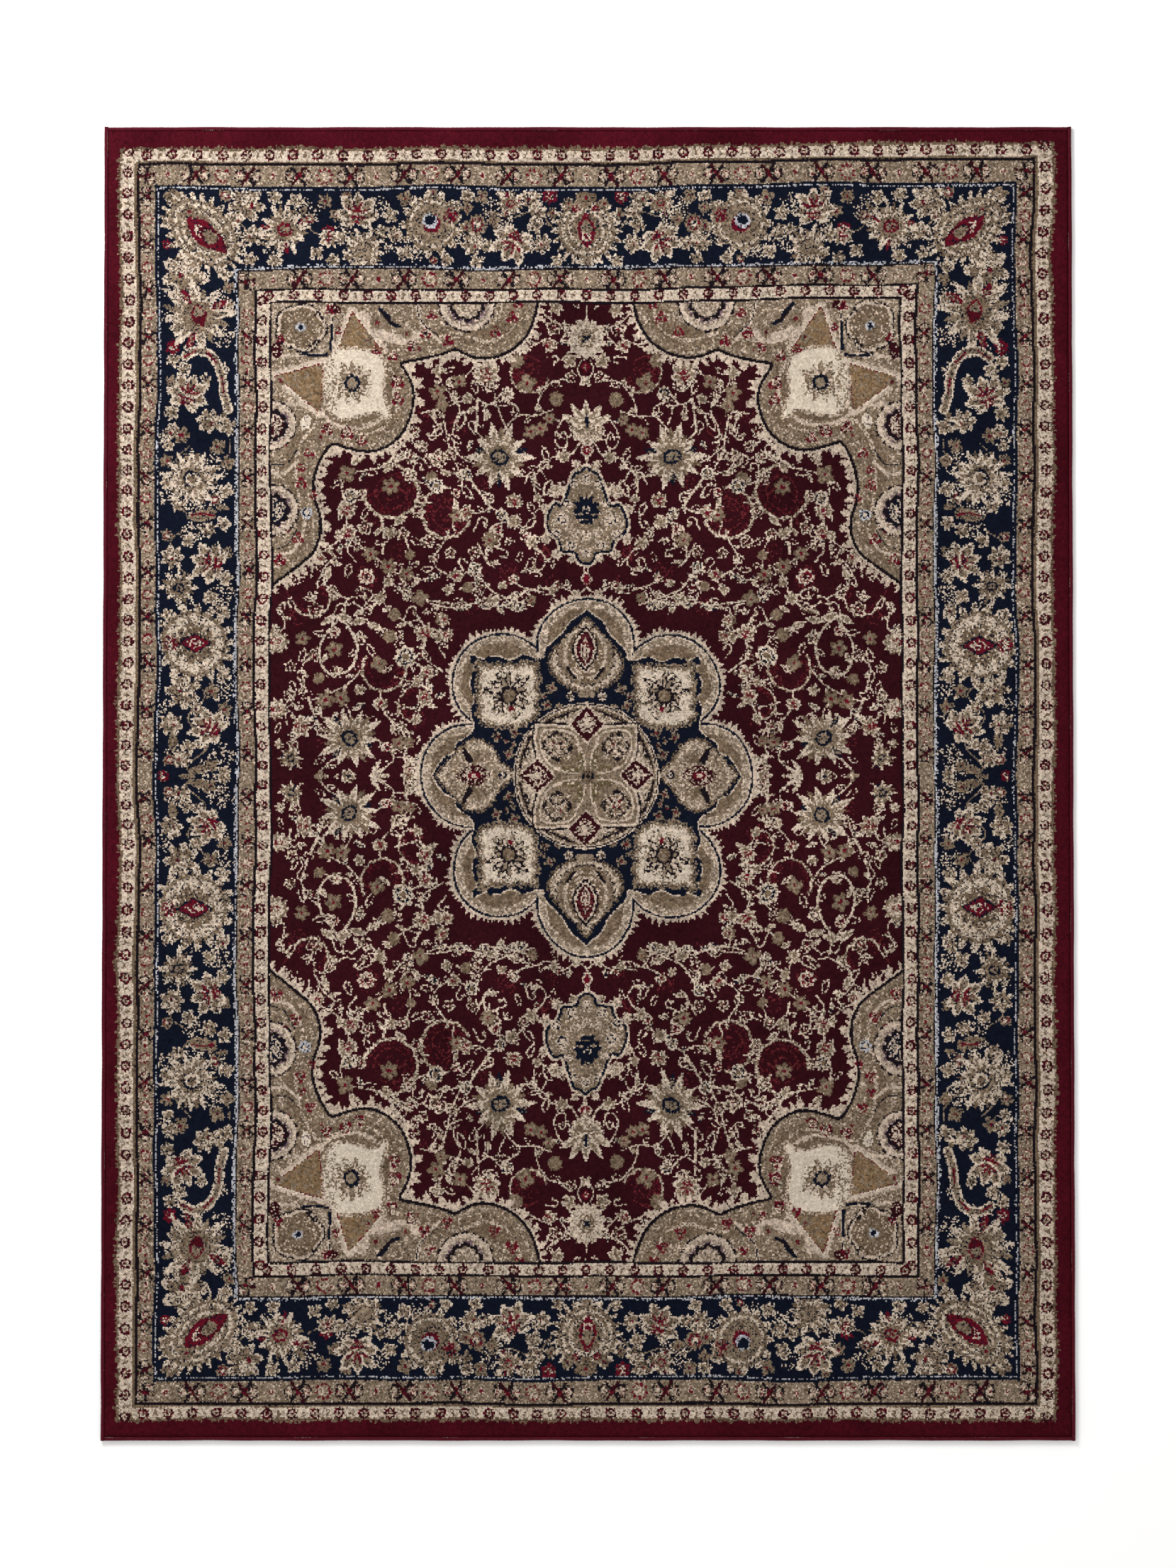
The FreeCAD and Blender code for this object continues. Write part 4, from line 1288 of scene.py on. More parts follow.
def draw_field_axis():
    """The flowers on the rug's middle line and cross line."""
    vine((0, 841), (0, 808), thick=1.1)
    stamp(0, 775, 34, 0, [
        (petals(14, 1.06, 0.86, 0.7), CREAM),
        (grains(spokes(14, 0.9, 0.15, 0.09), 0.8), BEIGE),
        (grains(oval(0.5, 0.5), 0.55), TAN),
        (grains(oval(0.32, 0.32), 0.4), BEIGE),
        (bar(-0.16, -0.12, 0.16, 0.12, 0.05), NAVY),
        (bar(-0.16, 0.12, 0.16, -0.12, 0.05), NAVY),
        (oval(0.09, 0.09), NAVY),
    ])
    flower(30, 738, 14, petal=CREAM, heart=BEIGE)
    red_flower(0, 726, 8)
    square_flower(0, 703, 12, 45, petal=CREAM)
    vine((8, 738), (14, 722), (8, 708), thick=1.1)
    open_palmette(0, 634, 38)
    stamp(0, 616, 30, 0, [(grains(petals(11, 1.0, 0.6), 0.45), CREAM), (grains(oval(0.7, 0.5), 0.4), TAN),
                          (bar(0, 0.2, 0, 0.5, 0.1), NAVY)])
    vine((0, 606), (10, 597), (17, 585), thick=1.3)
    red_flower(0, 579, 11)
    stamp(0, 579, 11, 0, [(hoop(1.0, 1.0, 0.25), CREAM)])
    stamp(0, 560, 6, 0, [(leaf(3.0, 0.6, 0, -0.6), CREAM)])
    stamp(0, 352, 17, 0, [(diamond(0.6, 1.1), CREAM), (diamond(0.38, 0.8), RED)])
    vine((0, 376), (4, 368), (0, 360), thick=1.3)
    vine((0, 334), (10, 326), (22, 320), thick=1.3)
    stamp(364, 0, 24, 90, [(leaf(1.5, 0.16, 0, -0.7, angle), CREAM) for angle in (-60, -30, 0, 30, 60)])
    square_flower(469, 0, 12)
    flower(420, 0, 14, petal=CREAM, heart=NAVY)
    flower(316, 0, 13, petal=CREAM, heart=RED)
    star_flower(520, 33, 22, 90, count=8)
    palmette(547, 244, 24, 90, wide=0.9, rings=2, heart=RED, count=11)
    palmette(543, 125, 20, 90, wide=0.9, rings=2, heart=RED, count=11)


FIELD_STARS = [(151, 568, 52, 20), (416, 72, 50, 60)]
FIELD_SCROLLS = [
    (100, 715, 36, 30, 150), (345, 506, 48, -40, 90), (250, 470, 46, 60, 100), (358, 195, 40, 10, 120),
    (487, 322, 34, -40, 130), (300, 130, 34, 120, 120),
]
FIELD_LILIES = [
    (175, 712, 26, 10), (128, 490, 17, 0), (417, 435, 17, 20), (499, 94, 22, 100), (283, 250, 19, -30),
    (231, 358, 14, 40), (286, 139, 17, 60), (68, 763, 15, 60), (215, 471, 16, 130), (421, 474, 18, 20),
    (282, 181, 15, 10), (250, 274, 13, 80), (364, 133, 14, 0), (244, 247, 13, 140), (470, 390, 14, 60),
]
FIELD_TAN_FLOWERS = [
    (254, 274, 12), (98, 312, 10), (312, 60, 10), (106, 697, 17), (65, 634, 11), (80, 616, 12),
    (98, 611, 13), (346, 514, 15), (232, 465, 13), (379, 399, 14), (292, 316, 15), (457, 142, 15),
    (430, 145, 14), (222, 700, 13), (367, 205, 14), (261, 681, 15), (349, 376, 14), (445, 232, 15),
    (316, 361, 13), (253, 658, 12), (421, 538, 16), (173, 422, 14), (500, 250, 12), (330, 60, 13),
]
FIELD_TAN_DISCS = [
    (125, 736, 13), (53, 670, 13), (274, 532, 11), (346, 253, 12), (337, 289, 11), (310, 396, 9),
    (211, 337, 10), (470, 180, 10),
]
FIELD_CREAM_FLOWERS = [
    (258, 245, 12), (222, 304, 10), (300, 168, 10), (313, 12, 12), (60, 330, 9), (290, 212, 9),
    (53, 828, 13), (26, 709, 11), (41, 568, 12), (41, 514, 12), (130, 453, 13), (231, 673, 9),
    (261, 718, 12), (219, 536, 11), (97, 417, 13), (268, 390, 10), (349, 349, 10), (321, 339, 10),
    (364, 319, 12), (481, 220, 12), (346, 435, 11), (325, 432, 12), (169, 313, 11), (451, 334, 11),
    (244, 331, 10), (289, 586, 11), (350, 550, 11), (304, 612, 12), (207, 670, 10), (463, 88, 11),
    (300, 100, 10), (514, 60, 11), (400, 160, 10), (388, 300, 12), (150, 340, 9), (190, 335, 10),
    (85, 495, 9), (110, 429, 11), (20, 322, 9), (50, 338, 9), (540, 60, 9),
]
FIELD_NAVY_FLOWERS = [
    (140, 679, 13), (152, 467, 11), (319, 214, 20), (268, 517, 15), (212, 539, 12), (199, 373, 12),
    (415, 498, 14),
]
FIELD_RED_RINGS = [(388, 358, 15), (445, 262, 10), (352, 54, 10), (159, 440, 9), (232, 505, 9)]
FIELD_OUTLINE_FLOWERS = [
    (167, 424, 18), (261, 566, 17), (310, 568, 12), (313, 535, 13), (388, 444, 13), (58, 793, 15),
    (480, 300, 15), (238, 574, 12), (199, 400, 12), (328, 87, 14), (400, 250, 13), (300, 470, 12),
    (520, 200, 11), (355, 585, 12), (280, 420, 12), (240, 400, 11), (440, 190, 11), (520, 150, 11),
    (130, 350, 11), (395, 500, 11),
]
FIELD_SKETCHES = [
    (104, 722, 22), (138, 361, 19), (298, 100, 16), (388, 358, 20), (345, 504, 30), (250, 468, 28),
    (70, 400, 16), (206, 300, 15), (328, 180, 18), (460, 60, 15), (60, 350, 14), (226, 620, 15),
    (510, 290, 16), (370, 460, 16), (290, 640, 14), (180, 520, 13), (330, 400, 15), (405, 200, 15),
]
FIELD_HOOKS = [
    (161, 642, 24, -60, -1), (262, 634, 15, 10), (72, 545, 16, 10), (98, 530, 14, 60),
    (174, 500, 14, 150), (211, 337, 15, 90), (190, 450, 15, 60), (300, 545, 14, 40), (330, 580, 15, 100),
    (410, 400, 15, 0), (440, 300, 15, 60), (500, 180, 15, 10), (390, 330, 15, 150), (310, 290, 14, 60),
    (250, 220, 13, 0), (470, 130, 14, 200), (380, 100, 14, 60), (320, 30, 13, 120), (270, 610, 13, 200),
    (240, 440, 13, 200), (290, 490, 13, 300), (60, 740, 11, 120), (36, 790, 11, 30), (520, 110, 13, 30),
    (220, 380, 12, 10), (150, 400, 12, 150), (100, 380, 12, 60), (130, 320, 12, 90), (360, 260, 12, 100),
    (200, 620, 12, 0),
]
FIELD_OUTLINE_LEAVES = [
    (18, 836, 10, -50), (71, 571, 15, -15), (68, 514, 17, 25), (98, 477, 15, -30), (101, 450, 15, 40),
    (212, 507, 18, -35), (149, 662, 14, 95), (220, 631, 18, 20), (262, 610, 13, 60), (310, 568, 14, 120),
    (340, 600, 14, 45), (380, 540, 14, 100), (280, 560, 13, 160), (230, 600, 13, 130),
    (195, 690, 14, 160), (240, 720, 12, 60), (388, 470, 13, 30), (440, 520, 13, 60), (360, 420, 14, 70),
    (300, 420, 14, 120), (330, 370, 13, 30), (280, 370, 13, 80), (240, 350, 13, 150), (420, 370, 15, 20),
    (440, 400, 14, 140), (470, 350, 14, 30), (510, 350, 13, 60), (520, 310, 13, 150), (418, 316, 14, 60),
    (400, 330, 13, 120), (514, 163, 14, -20), (517, 139, 13, 30), (489, 150, 13, 60), (500, 220, 14, 20),
    (470, 260, 13, 100), (380, 230, 13, 160), (330, 240, 13, 45), (300, 270, 13, 100), (260, 290, 13, 30),
    (230, 310, 13, 70), (190, 320, 12, 110), (150, 310, 12, 60), (110, 320, 12, 20), (80, 330, 12, 150),
    (60, 310, 10, 60), (90, 360, 12, 100), (120, 390, 12, 30), (60, 380, 11, 170), (300, 60, 12, 30),
    (340, 110, 12, 80), (390, 110, 12, 140), (470, 30, 12, 60), (540, 90, 12, 20), (280, 210, 12, 150),
    (320, 160, 12, 50),
]
FIELD_FULL_LEAVES = [
    (457, 283, 15, 60), (430, 287, 17, 100), (402, 280, 17, 80), (373, 271, 16, 110), (457, 364, 15, 20),
    (173, 727, 14, 60), (500, 420, 14, 40), (330, 455, 13, 60), (240, 700, 11, 30), (350, 300, 12, 60),
    (300, 345, 12, 45), (440, 110, 13, 20), (395, 90, 11, 70), (250, 540, 11, 100), (405, 560, 12, 60),
]
FIELD_NAVY_LEAVES = [
    (142, 303, 18, 80), (283, 136, 16, 100), (256, 142, 12, 70), (180, 300, 13, 100), (124, 298, 20, 100),
    (220, 298, 15, 80), (271, 355, 16, 60), (92, 532, 10, 20), (286, 139, 14, 60), (400, 130, 13, 60),
    (319, 320, 12, 150), (205, 590, 10, 30), (480, 110, 13, 100), (340, 50, 12, 70), (260, 250, 12, 0),
    (300, 30, 12, 60),
]
FIELD_SPRIGS = [
    (173, 690, 22, 10), (421, 474, 20, 20), (313, 535, 16, 40), (231, 673, 13, 100), (364, 133, 16, 0),
    (487, 322, 17, -30), (358, 195, 18, 0), (261, 566, 16, 20), (190, 355, 14, 60), (540, 300, 14, 80),
    (300, 590, 13, 20), (400, 420, 14, 90), (280, 290, 13, 0), (505, 130, 14, 20), (140, 420, 13, 160),
]
FIELD_STEMS = [
    ((191, 670), (193, 640), (194, 613)), ((206, 532), (190, 508), (170, 480)),
    ((493, 163), (480, 130), (463, 88)), ((350, 550), (330, 585), (304, 610)),
    ((361, 459), (356, 430), (358, 399)),
    ((436, 283), (420, 270), (404, 235), (418, 196), (452, 188), (470, 215), (466, 250), (440, 284)),
]
FIELD_VINES = [
    ((320, 322), (290, 312), (255, 308), (222, 304), (195, 306), (168, 300), (140, 304), (112, 308)),
    ((112, 308), (98, 330), (70, 322), (44, 336)),
    ((300, 290), (285, 262), (283, 235), (288, 212), (270, 196), (252, 184)),
    ((340, 182), (310, 170), (276, 166)), ((340, 136), (300, 120), (280, 128)),
    ((344, 100), (318, 86), (310, 60), (322, 36), (312, 10)), ((262, 300), (250, 276), (262, 250)),
    ((35, 643), (50, 620), (56, 598), (48, 584), (36, 584)), ((36, 584), (34, 600), (42, 612), (48, 600)),
    ((17, 585), (26, 572), (41, 568), (60, 566), (68, 552)),
    ((68, 552), (84, 540), (92, 520), (84, 484), (74, 476)), ((92, 532), (125, 538), (140, 560)),
    ((60, 650), (90, 640), (120, 640), (140, 622), (150, 600)), ((140, 665), (122, 655), (118, 640)),
    ((191, 670), (170, 660), (150, 680)), ((194, 613), (180, 600), (165, 590)),
    ((233, 622), (234, 600), (226, 575), (200, 559), (185, 560)),
    ((233, 622), (222, 650), (231, 673), (250, 690), (261, 718)),
    ((253, 643), (246, 610), (238, 574), (219, 536)), ((291, 643), (262, 650), (232, 660), (207, 670)),
    ((219, 536), (250, 545), (280, 560), (310, 568), (350, 550)),
    ((170, 480), (190, 470), (215, 471), (240, 480)),
    ((170, 480), (150, 467), (130, 453), (112, 440), (97, 417)), ((130, 453), (160, 450), (174, 440)),
    ((194, 417), (186, 400), (176, 381), (165, 372)), ((176, 381), (180, 400), (172, 420)),
    ((350, 550), (380, 545), (421, 538)),
    ((421, 538), (430, 510), (421, 474), (417, 435), (400, 415), (379, 399)),
    ((379, 399), (349, 376), (316, 361), (292, 350), (271, 355)),
    ((316, 361), (310, 396), (325, 432), (346, 435)), ((268, 517), (290, 520), (310, 530)),
    ((250, 424), (268, 390), (260, 370), (231, 358), (199, 373)),
    ((199, 373), (185, 350), (169, 330), (150, 320), (124, 310), (95, 300)),
    ((280, 307), (250, 298), (220, 300), (190, 310), (157, 316)),
    ((292, 316), (320, 325), (349, 349), (364, 319), (388, 300), (418, 316), (451, 334)),
    ((451, 334), (470, 355), (457, 380), (430, 400)), ((487, 356), (480, 390), (450, 410), (417, 435)),
    ((521, 322), (535, 300), (530, 270), (547, 260)), ((373, 271), (346, 253), (319, 235), (319, 214)),
    ((319, 214), (300, 200), (282, 181), (286, 139), (300, 100)), ((283, 250), (300, 262), (337, 289)),
    ((244, 247), (262, 256), (283, 250)), ((398, 195), (420, 170), (457, 150), (480, 142)),
    ((430, 145), (415, 120), (416, 100)), ((457, 142), (463, 115), (440, 95)),
    ((499, 94), (510, 70), (520, 50)), ((481, 220), (500, 200), (493, 163)),
    ((364, 155), (364, 133), (350, 110), (328, 87), (316, 60), (320, 30), (316, 10)),
    ((373, 72), (352, 54), (340, 30), (364, 10)), ((469, 10), (450, 30), (430, 40)),
    ((436, 5), (450, -4), (460, 0)), ((20, 322), (50, 338), (80, 330), (110, 335), (138, 350)),
    ((60, 760), (44, 775), (34, 790)), ((80, 770), (100, 760), (125, 750)),
    ((90, 640), (84, 670), (70, 690), (60, 700), (30, 706)), ((53, 800), (70, 812), (78, 826)),
    ((205, 735), (190, 745), (200, 722), (222, 700), (240, 690)),
    ((97, 417), (80, 400), (72, 380), (90, 362), (110, 370)),
]
FIELD_RED_VINES = [
    ((85, 735), (110, 745), (120, 720), (100, 712)), ((320, 500), (345, 520), (368, 500)),
    ((235, 470), (250, 490), (270, 470)), ((126, 372), (138, 350), (155, 372)),
    ((290, 110), (305, 90), (300, 120)), ((370, 350), (388, 372), (402, 350)),
    ((530, 330), (515, 300), (530, 280)), ((60, 390), (75, 410), (80, 385)),
]


# --- The whole drawing, and which piece each place belongs to --------------------------------------

AREAS = BANDS + ("field", "corner_piece", "medallion_band", "medallion_ground", "medallion_roundel",
                 "end_palmette", "side_palmette", "medallion_square", "pendant")


def area_map():
    """The piece that each place in the drawing belongs to, as its index in AREAS."""
    region = np.zeros(quarter.shape, np.uint8)
    for index, band in enumerate(BANDS + ("field",)):
        region[within_line(band)] = index
    field = region == AREAS.index("field")
    shapes = {
        "corner_piece": filled(CORNER_OUTLINE, curved=False),
        "medallion_band": lobed(MEDALLION_LOBES)[0] > 0,
        "medallion_ground": filled(MEDALLION_GROUND, curved=False),
        "medallion_roundel": lobed([ROUNDEL_DISC])[0] > 0,
        "end_palmette": filled(END_PALMETTE),
        "side_palmette": filled(SIDE_PALMETTE),
        "medallion_square": filled(SQUARE_OUTLINE),
        "pendant": filled(PENDANT_OUTLINE),
    }
    for name, shape in shapes.items():
        region[shape & field] = AREAS.index(name)
    return region


def draw_everything():
    """Draws every part in its order, with the field's ground in painted shade, darker than the plain band's.
    """
    draw_bands()
    field = within_line("field")
    drawn_within(field, draw_field)
    drawn_within(field, draw_corner)
    drawn_within(field, draw_medallion)
    drawn_within(field, draw_pendant)
    # Painted shade: the field's burgundy ground becomes the darker garnet, as its nap lies away from the
    # light.
    quarter[field & (quarter == BURGUNDY)] = GARNET
    navy_ground = within_line("main_border", WHITE_LINE, WHITE_LINE)
    navy_ground &= ~within_line("main_border", MAIN_INNER_LINE, MAIN_INNER_LINE)
    drawn_within(navy_ground, draw_main_border)


draw_everything()
region = area_map()


# --- The pile: tufts in rows and columns, each dyed from the drawing -------------------------------

PITCH = 2.3
FRIEZE = [CREAM, BEIGE, TAN, GOLD, OLIVE, WHITE, MAUVE, ROSE, IVORY]

DYES = {
    BURGUNDY: (58, 8, 18),
    NAVY: (11, 15, 27),
    OUTLINE: (20, 14, 19),
    WHITE: (152, 151, 155),
    CREAM: (168, 151, 135),
    BEIGE: (117, 102, 86),
    TAN: (95, 79, 63),
    GOLD: (110, 88, 64),
    RED: (82, 12, 26),
    ROSE: (80, 28, 32),
    SCARLET: (66, 10, 20),
    OLIVE: (86, 74, 53),
    MAUVE: (98, 78, 84),
    IVORY: (184, 171, 154),
    GARNET: (40, 9, 15),
}


def linear(colour):
    """A colour named in everyday 0 to 255 steps, as light."""
    share = np.array(colour, float) / 255
    return np.where(share < 0.04045, share / 12.92, ((share + 0.055) / 1.055) ** 2.4)


WANDER = 2.0


def wander(x, y, seed):
    """A slow drift of the pattern, as a hand or a loom pulls the rows out of line."""
    draw = np.random.default_rng(seed)
    drift = np.zeros(np.broadcast(x, y).shape)
    for _ in range(6):
        length, way, phase = draw.uniform(130, 420), draw.uniform(0, math.tau), draw.uniform(0, math.tau)
        drift = drift + np.sin((x * math.cos(way) + y * math.sin(way)) * math.tau / length + phase)
    return drift * WANDER / 2.4


def softened(noise):
    """Noise with each value averaged with its neighbours, back at its first strength."""
    noise = (noise + np.roll(noise, 1, 0) + np.roll(noise, 1, 1) + np.roll(noise, (1, 1), (0, 1))) / 4
    return noise / noise.std()


pile_low = Vector(
    (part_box("plain_band_left")[0].x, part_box("plain_band_bottom")[0].y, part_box("field_top_left")[0].z))
pile_high = -pile_low
pile_high.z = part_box("field_top_left")[1].z
tuft_rows = round((pile_high.y - pile_low.y) / MM / PITCH)
tuft_columns = round((pile_high.x - pile_low.x) / MM / PITCH)
tuft_y = np.linspace(pile_low.y, pile_high.y, tuft_rows + 1) / MM
tuft_x = np.linspace(pile_low.x, pile_high.x, tuft_columns + 1) / MM
tuft_shape = (tuft_rows, tuft_columns)
middle_y = ((tuft_y[1:] + tuft_y[:-1]) / 2)[:, None]
middle_x = ((tuft_x[1:] + tuft_x[:-1]) / 2)[None, :]


def eased(value, start, stop):
    """0 before the start, 1 after the stop, and a smooth rise between."""
    share = np.clip((value - start) / (stop - start), 0, 1)
    return share * share * (3 - 2 * share)


# The pattern sits a little left of and above the rug's true middle, as its rows were beaten in.
moved_left = 3 + 3 * np.tanh(middle_x / 250) + 0 * middle_y
lift_inside = np.interp(middle_y, (-940, -650, -480, -300, 250, 400), (0, 3, 6, 9, 10, 0))
lift_beside = np.interp(middle_y, (-940, -820, -460, -340, -200, -120, 120), (0, 3, 7, 12, 20, 20, 0))
moved_up = lift_inside + (lift_beside - lift_inside) * eased(np.abs(middle_x), 260, 360)
moved_up = moved_up + 8 * eased(middle_y, 700, 860) * eased(middle_x, 60, 480)


def looked_up(picture, stray):
    """The drawing's value under each tuft, with the drift and a small stray of each tuft."""
    across = np.abs(middle_x + moved_left + wander(middle_x, middle_y, 3))
    along = np.abs(middle_y - moved_up + wander(middle_x, middle_y, 8))
    across, along = (way + random.uniform(-stray, stray, tuft_shape) for way in (across, along))
    rows = np.clip(along.astype(int), 0, picture.shape[0] - 1)
    columns = np.clip(across.astype(int), 0, picture.shape[1] - 1)
    return picture[rows, columns]


ink = looked_up(quarter, 0.35)
area = looked_up(region, 0)
is_frieze = np.isin(ink, FRIEZE)

# Each tuft's brightness: partly the yarn's own uneven tone, partly painted shade between the curled heat-set
# tufts.
tone_and_shade_noise = 0.75 * softened(random.normal(size=tuft_shape)) + 0.65 * random.normal(size=tuft_shape)
shade = 1 + np.where(ink == IVORY, 0.1, np.where(is_frieze, 0.22, 0.15)) * np.clip(tone_and_shade_noise, -2.2, 2.2)
# Painted shade: a few pale tufts are made half as bright, as dark gaps between tufts.
shade[is_frieze & (ink != IVORY) & (random.random(tuft_shape) < 0.07)] *= 0.5
dye_list = np.array([linear(DYES[index]) for index in range(len(DYES))])
dye = np.ones((*tuft_shape, 4), np.float32)
# Each tuft's "dye" colour carries this painted shade as well as its dye.
dye[..., :3] = dye_list[ink] * shade[..., None]
np.clip(dye, 0, 1, out=dye)

TUFT_HEIGHTS = {
    BURGUNDY: -0.35, GARNET: -0.35, NAVY: -0.5, OUTLINE: -1.1, RED: -0.3, SCARLET: -0.3, ROSE: -0.1}
heights = np.array([TUFT_HEIGHTS.get(index, 0.0) for index in range(len(DYES))])
unevenness = np.clip(softened(random.normal(size=tuft_shape)), -2, 2)
tuft_height = heights[ink] + np.where(is_frieze, 0.28, 0.07) * unevenness

padded = np.pad(tuft_height, 1, mode="edge")
corner_height = (padded[1:, 1:] + padded[:-1, 1:] + padded[1:, :-1] + padded[:-1, :-1]) / 4
knots = np.zeros((tuft_rows + 1, tuft_columns + 1, 3))
knots[..., 0] = tuft_x[None, :]
knots[..., 1] = tuft_y[:, None]
knots[1:-1, 1:-1, :2] += random.uniform(-0.24, 0.24, (tuft_rows - 1, tuft_columns - 1, 2)) * PITCH
to_rim = np.minimum(pile_high.x / MM - np.abs(knots[..., 0]), pile_high.y / MM - np.abs(knots[..., 1]))
PILE_DIP, RIM_DROP, RIM_WIDE = 0.6, 3.0, 3.0
knots[..., 2] = pile_high.z / MM - PILE_DIP + corner_height - RIM_DROP * np.exp(-to_rim / RIM_WIDE)
knots = knots.reshape(-1, 3) * MM
knot_index = np.arange(len(knots)).reshape(tuft_rows + 1, tuft_columns + 1)
tuft_corners = np.stack(
    [knot_index[:-1, :-1], knot_index[:-1, 1:], knot_index[1:, 1:], knot_index[1:, :-1]], axis=-1)


def underside(loop_edges, points):
    """Triangles that close the bottom of a piece, inside its rim of edges."""
    work = bmesh.new()
    corners = {index: work.verts.new(points[index]) for index in np.unique(loop_edges)}
    back = {corner: index for index, corner in corners.items()}
    for start, end in loop_edges:
        work.edges.new((corners[start], corners[end]))
    bmesh.ops.triangle_fill(work, use_beauty=False, use_dissolve=False, edges=work.edges[:])
    triangles = []
    for face in work.faces:
        order = [back[corner] for corner in face.verts]
        triangles.append(order if face.normal.z < 0 else order[::-1])
    work.free()
    return np.array(triangles, int).reshape(-1, 3)


def new_object(name, mesh):
    piece = bpy.data.objects.new(name, mesh)
    bpy.context.scene.collection.objects.link(piece)
    return piece


def pile_piece(name, chosen):
    """A closed slab of pile made of the chosen tufts: their tops, walls down to the weave and a bottom."""
    corners = tuft_corners[chosen]
    edges = np.concatenate([corners[:, [side, (side + 1) % 4]] for side in range(4)])
    keys = edges[:, 0] * len(knots) + edges[:, 1]
    rim = edges[~np.isin(keys, edges[:, 1] * len(knots) + edges[:, 0])]
    top = np.unique(corners)
    bottom = np.unique(rim)
    points = np.concatenate([knots[top], knots[bottom] * (1, 1, 0) + (0, 0, pile_low.z)])
    to_top = np.zeros(len(knots), int)
    to_top[top] = np.arange(len(top))
    to_bottom = np.zeros(len(knots), int)
    to_bottom[bottom] = len(top) + np.arange(len(bottom))
    start, end = rim[:, 0], rim[:, 1]
    walls = np.stack([to_top[start], to_bottom[start], to_bottom[end], to_top[end]], axis=1)
    quads = np.concatenate([to_top[corners], walls])
    triangles = underside(to_bottom[rim], points)
    mesh = bpy.data.meshes.new(name)
    mesh.vertices.add(len(points))
    mesh.vertices.foreach_set("co", points.ravel())
    mesh.loops.add(quads.size + triangles.size)
    mesh.loops.foreach_set("vertex_index", np.concatenate([quads.ravel(), triangles.ravel()]))
    mesh.polygons.add(len(quads) + len(triangles))
    starts = np.concatenate([np.arange(len(quads)) * 4, quads.size + np.arange(len(triangles)) * 3])
    mesh.polygons.foreach_set("loop_start", starts)
    mesh.update(calc_edges=True)
    colours = np.tile(dye[chosen].mean(axis=0), (len(quads) + len(triangles), 1))
    colours[:len(corners)] = dye[chosen]
    dyed = mesh.attributes.new("dye", "FLOAT_COLOR", "FACE")
    dyed.data.foreach_set("color", colours.astype(np.float32).ravel())
    loft = np.zeros(len(quads) + len(triangles), np.float32)
    loft[:len(corners)] = is_frieze[chosen]
    mesh.attributes.new("frieze", "FLOAT", "FACE").data.foreach_set("value", loft)
    smooth = np.zeros(len(quads) + len(triangles), bool)
    smooth[:len(corners)] = True
    mesh.polygons.foreach_set("use_smooth", smooth)
    return new_object(name, mesh)


# --- Materials ----------------------------------------------------------------------------------------

def new_group(name, inputs, outputs):
    """An empty shader group with named number and colour sockets."""
    tree = bpy.data.node_groups.new(name, "ShaderNodeTree")
    for socket, (kind, value) in inputs.items():
        made = tree.interface.new_socket(name=socket, in_out="INPUT", socket_type=kind)
        made.default_value = value
    for socket, kind in outputs.items():
        tree.interface.new_socket(name=socket, in_out="OUTPUT", socket_type=kind)
    return tree, tree.nodes.new("NodeGroupInput"), tree.nodes.new("NodeGroupOutput")


def feed(tree, socket, value):
    """Links another socket to a socket, or sets it to a plain value."""
    if isinstance(value, bpy.types.NodeSocket):
        tree.links.new(value, socket)
    else:
        socket.default_value = value


def add_node(tree, kind, settings=None, **inputs):
    """A node with its settings and its sockets' values or links."""
    made = tree.nodes.new(kind)
    for name, value in (settings or {}).items():
        setattr(made, name, value)
    for name, value in inputs.items():
        socket = made.inputs[int(name[1:])] if name[0] == "_" else made.inputs[name.replace("_", " ")]
        feed(tree, socket, value)
    return made


def maths(tree, operation, first, second=0.0):
    """One sum on numbers or sockets."""
    return add_node(tree, "ShaderNodeMath", {"operation": operation}, _0=first, _1=second).outputs[0]


def mixed(tree, blend, share, first, second):
    """Two colours mixed; share is how much of the second."""
    made = add_node(tree, "ShaderNodeMix", {"data_type": "RGBA", "blend_type": blend})
    for socket, value in ((made.inputs[0], share), (made.inputs[6], first), (made.inputs[7], second)):
        feed(tree, socket, value)
    return made.outputs[2]


def lightened(tree, colour, gain):
    """A colour made lighter or darker by a gain."""
    return add_node(tree, "ShaderNodeVectorMath", {"operation": "SCALE"}, _0=colour, Scale=gain).outputs[0]


NUMBER, COLOUR = "NodeSocketFloat", "NodeSocketColor"


def yarn_grain_group():
    """The tips of cut yarn: fine mottling, with longer crimped strands where the yarn is heat-set."""
    tree, given, result = new_group(
        "Yarn Grain",
        {"Color": (COLOUR, (0.5, 0.5, 0.5, 1)), "Crimp": (NUMBER, 0.0), "Contrast": (NUMBER, 0.5)},
        {"Color": COLOUR, "Height": NUMBER})
    place = add_node(tree, "ShaderNodeTexCoord").outputs["Object"]
    tips = add_node(tree, "ShaderNodeTexNoise", Vector=place, Scale=900.0, Detail=2.0, Roughness=0.7)
    crimps = add_node(tree, "ShaderNodeTexNoise", Vector=place, Scale=260.0, Detail=3.0, Roughness=0.6,
                      Distortion=1.6)
    fine = maths(tree, "SUBTRACT", tips.outputs["Fac"], 0.5)
    swing = maths(tree, "SUBTRACT", crimps.outputs["Fac"], 0.5)
    broad = maths(tree, "MULTIPLY", swing, given.outputs["Crimp"])
    height = maths(tree, "ADD", fine, maths(tree, "MULTIPLY", broad, 1.6))
    gain = maths(tree, "ADD", maths(tree, "MULTIPLY", height, given.outputs["Contrast"]), 1.0)
    tree.links.new(lightened(tree, given.outputs["Color"], gain), result.inputs["Color"])
    tree.links.new(height, result.inputs["Height"])
    return tree


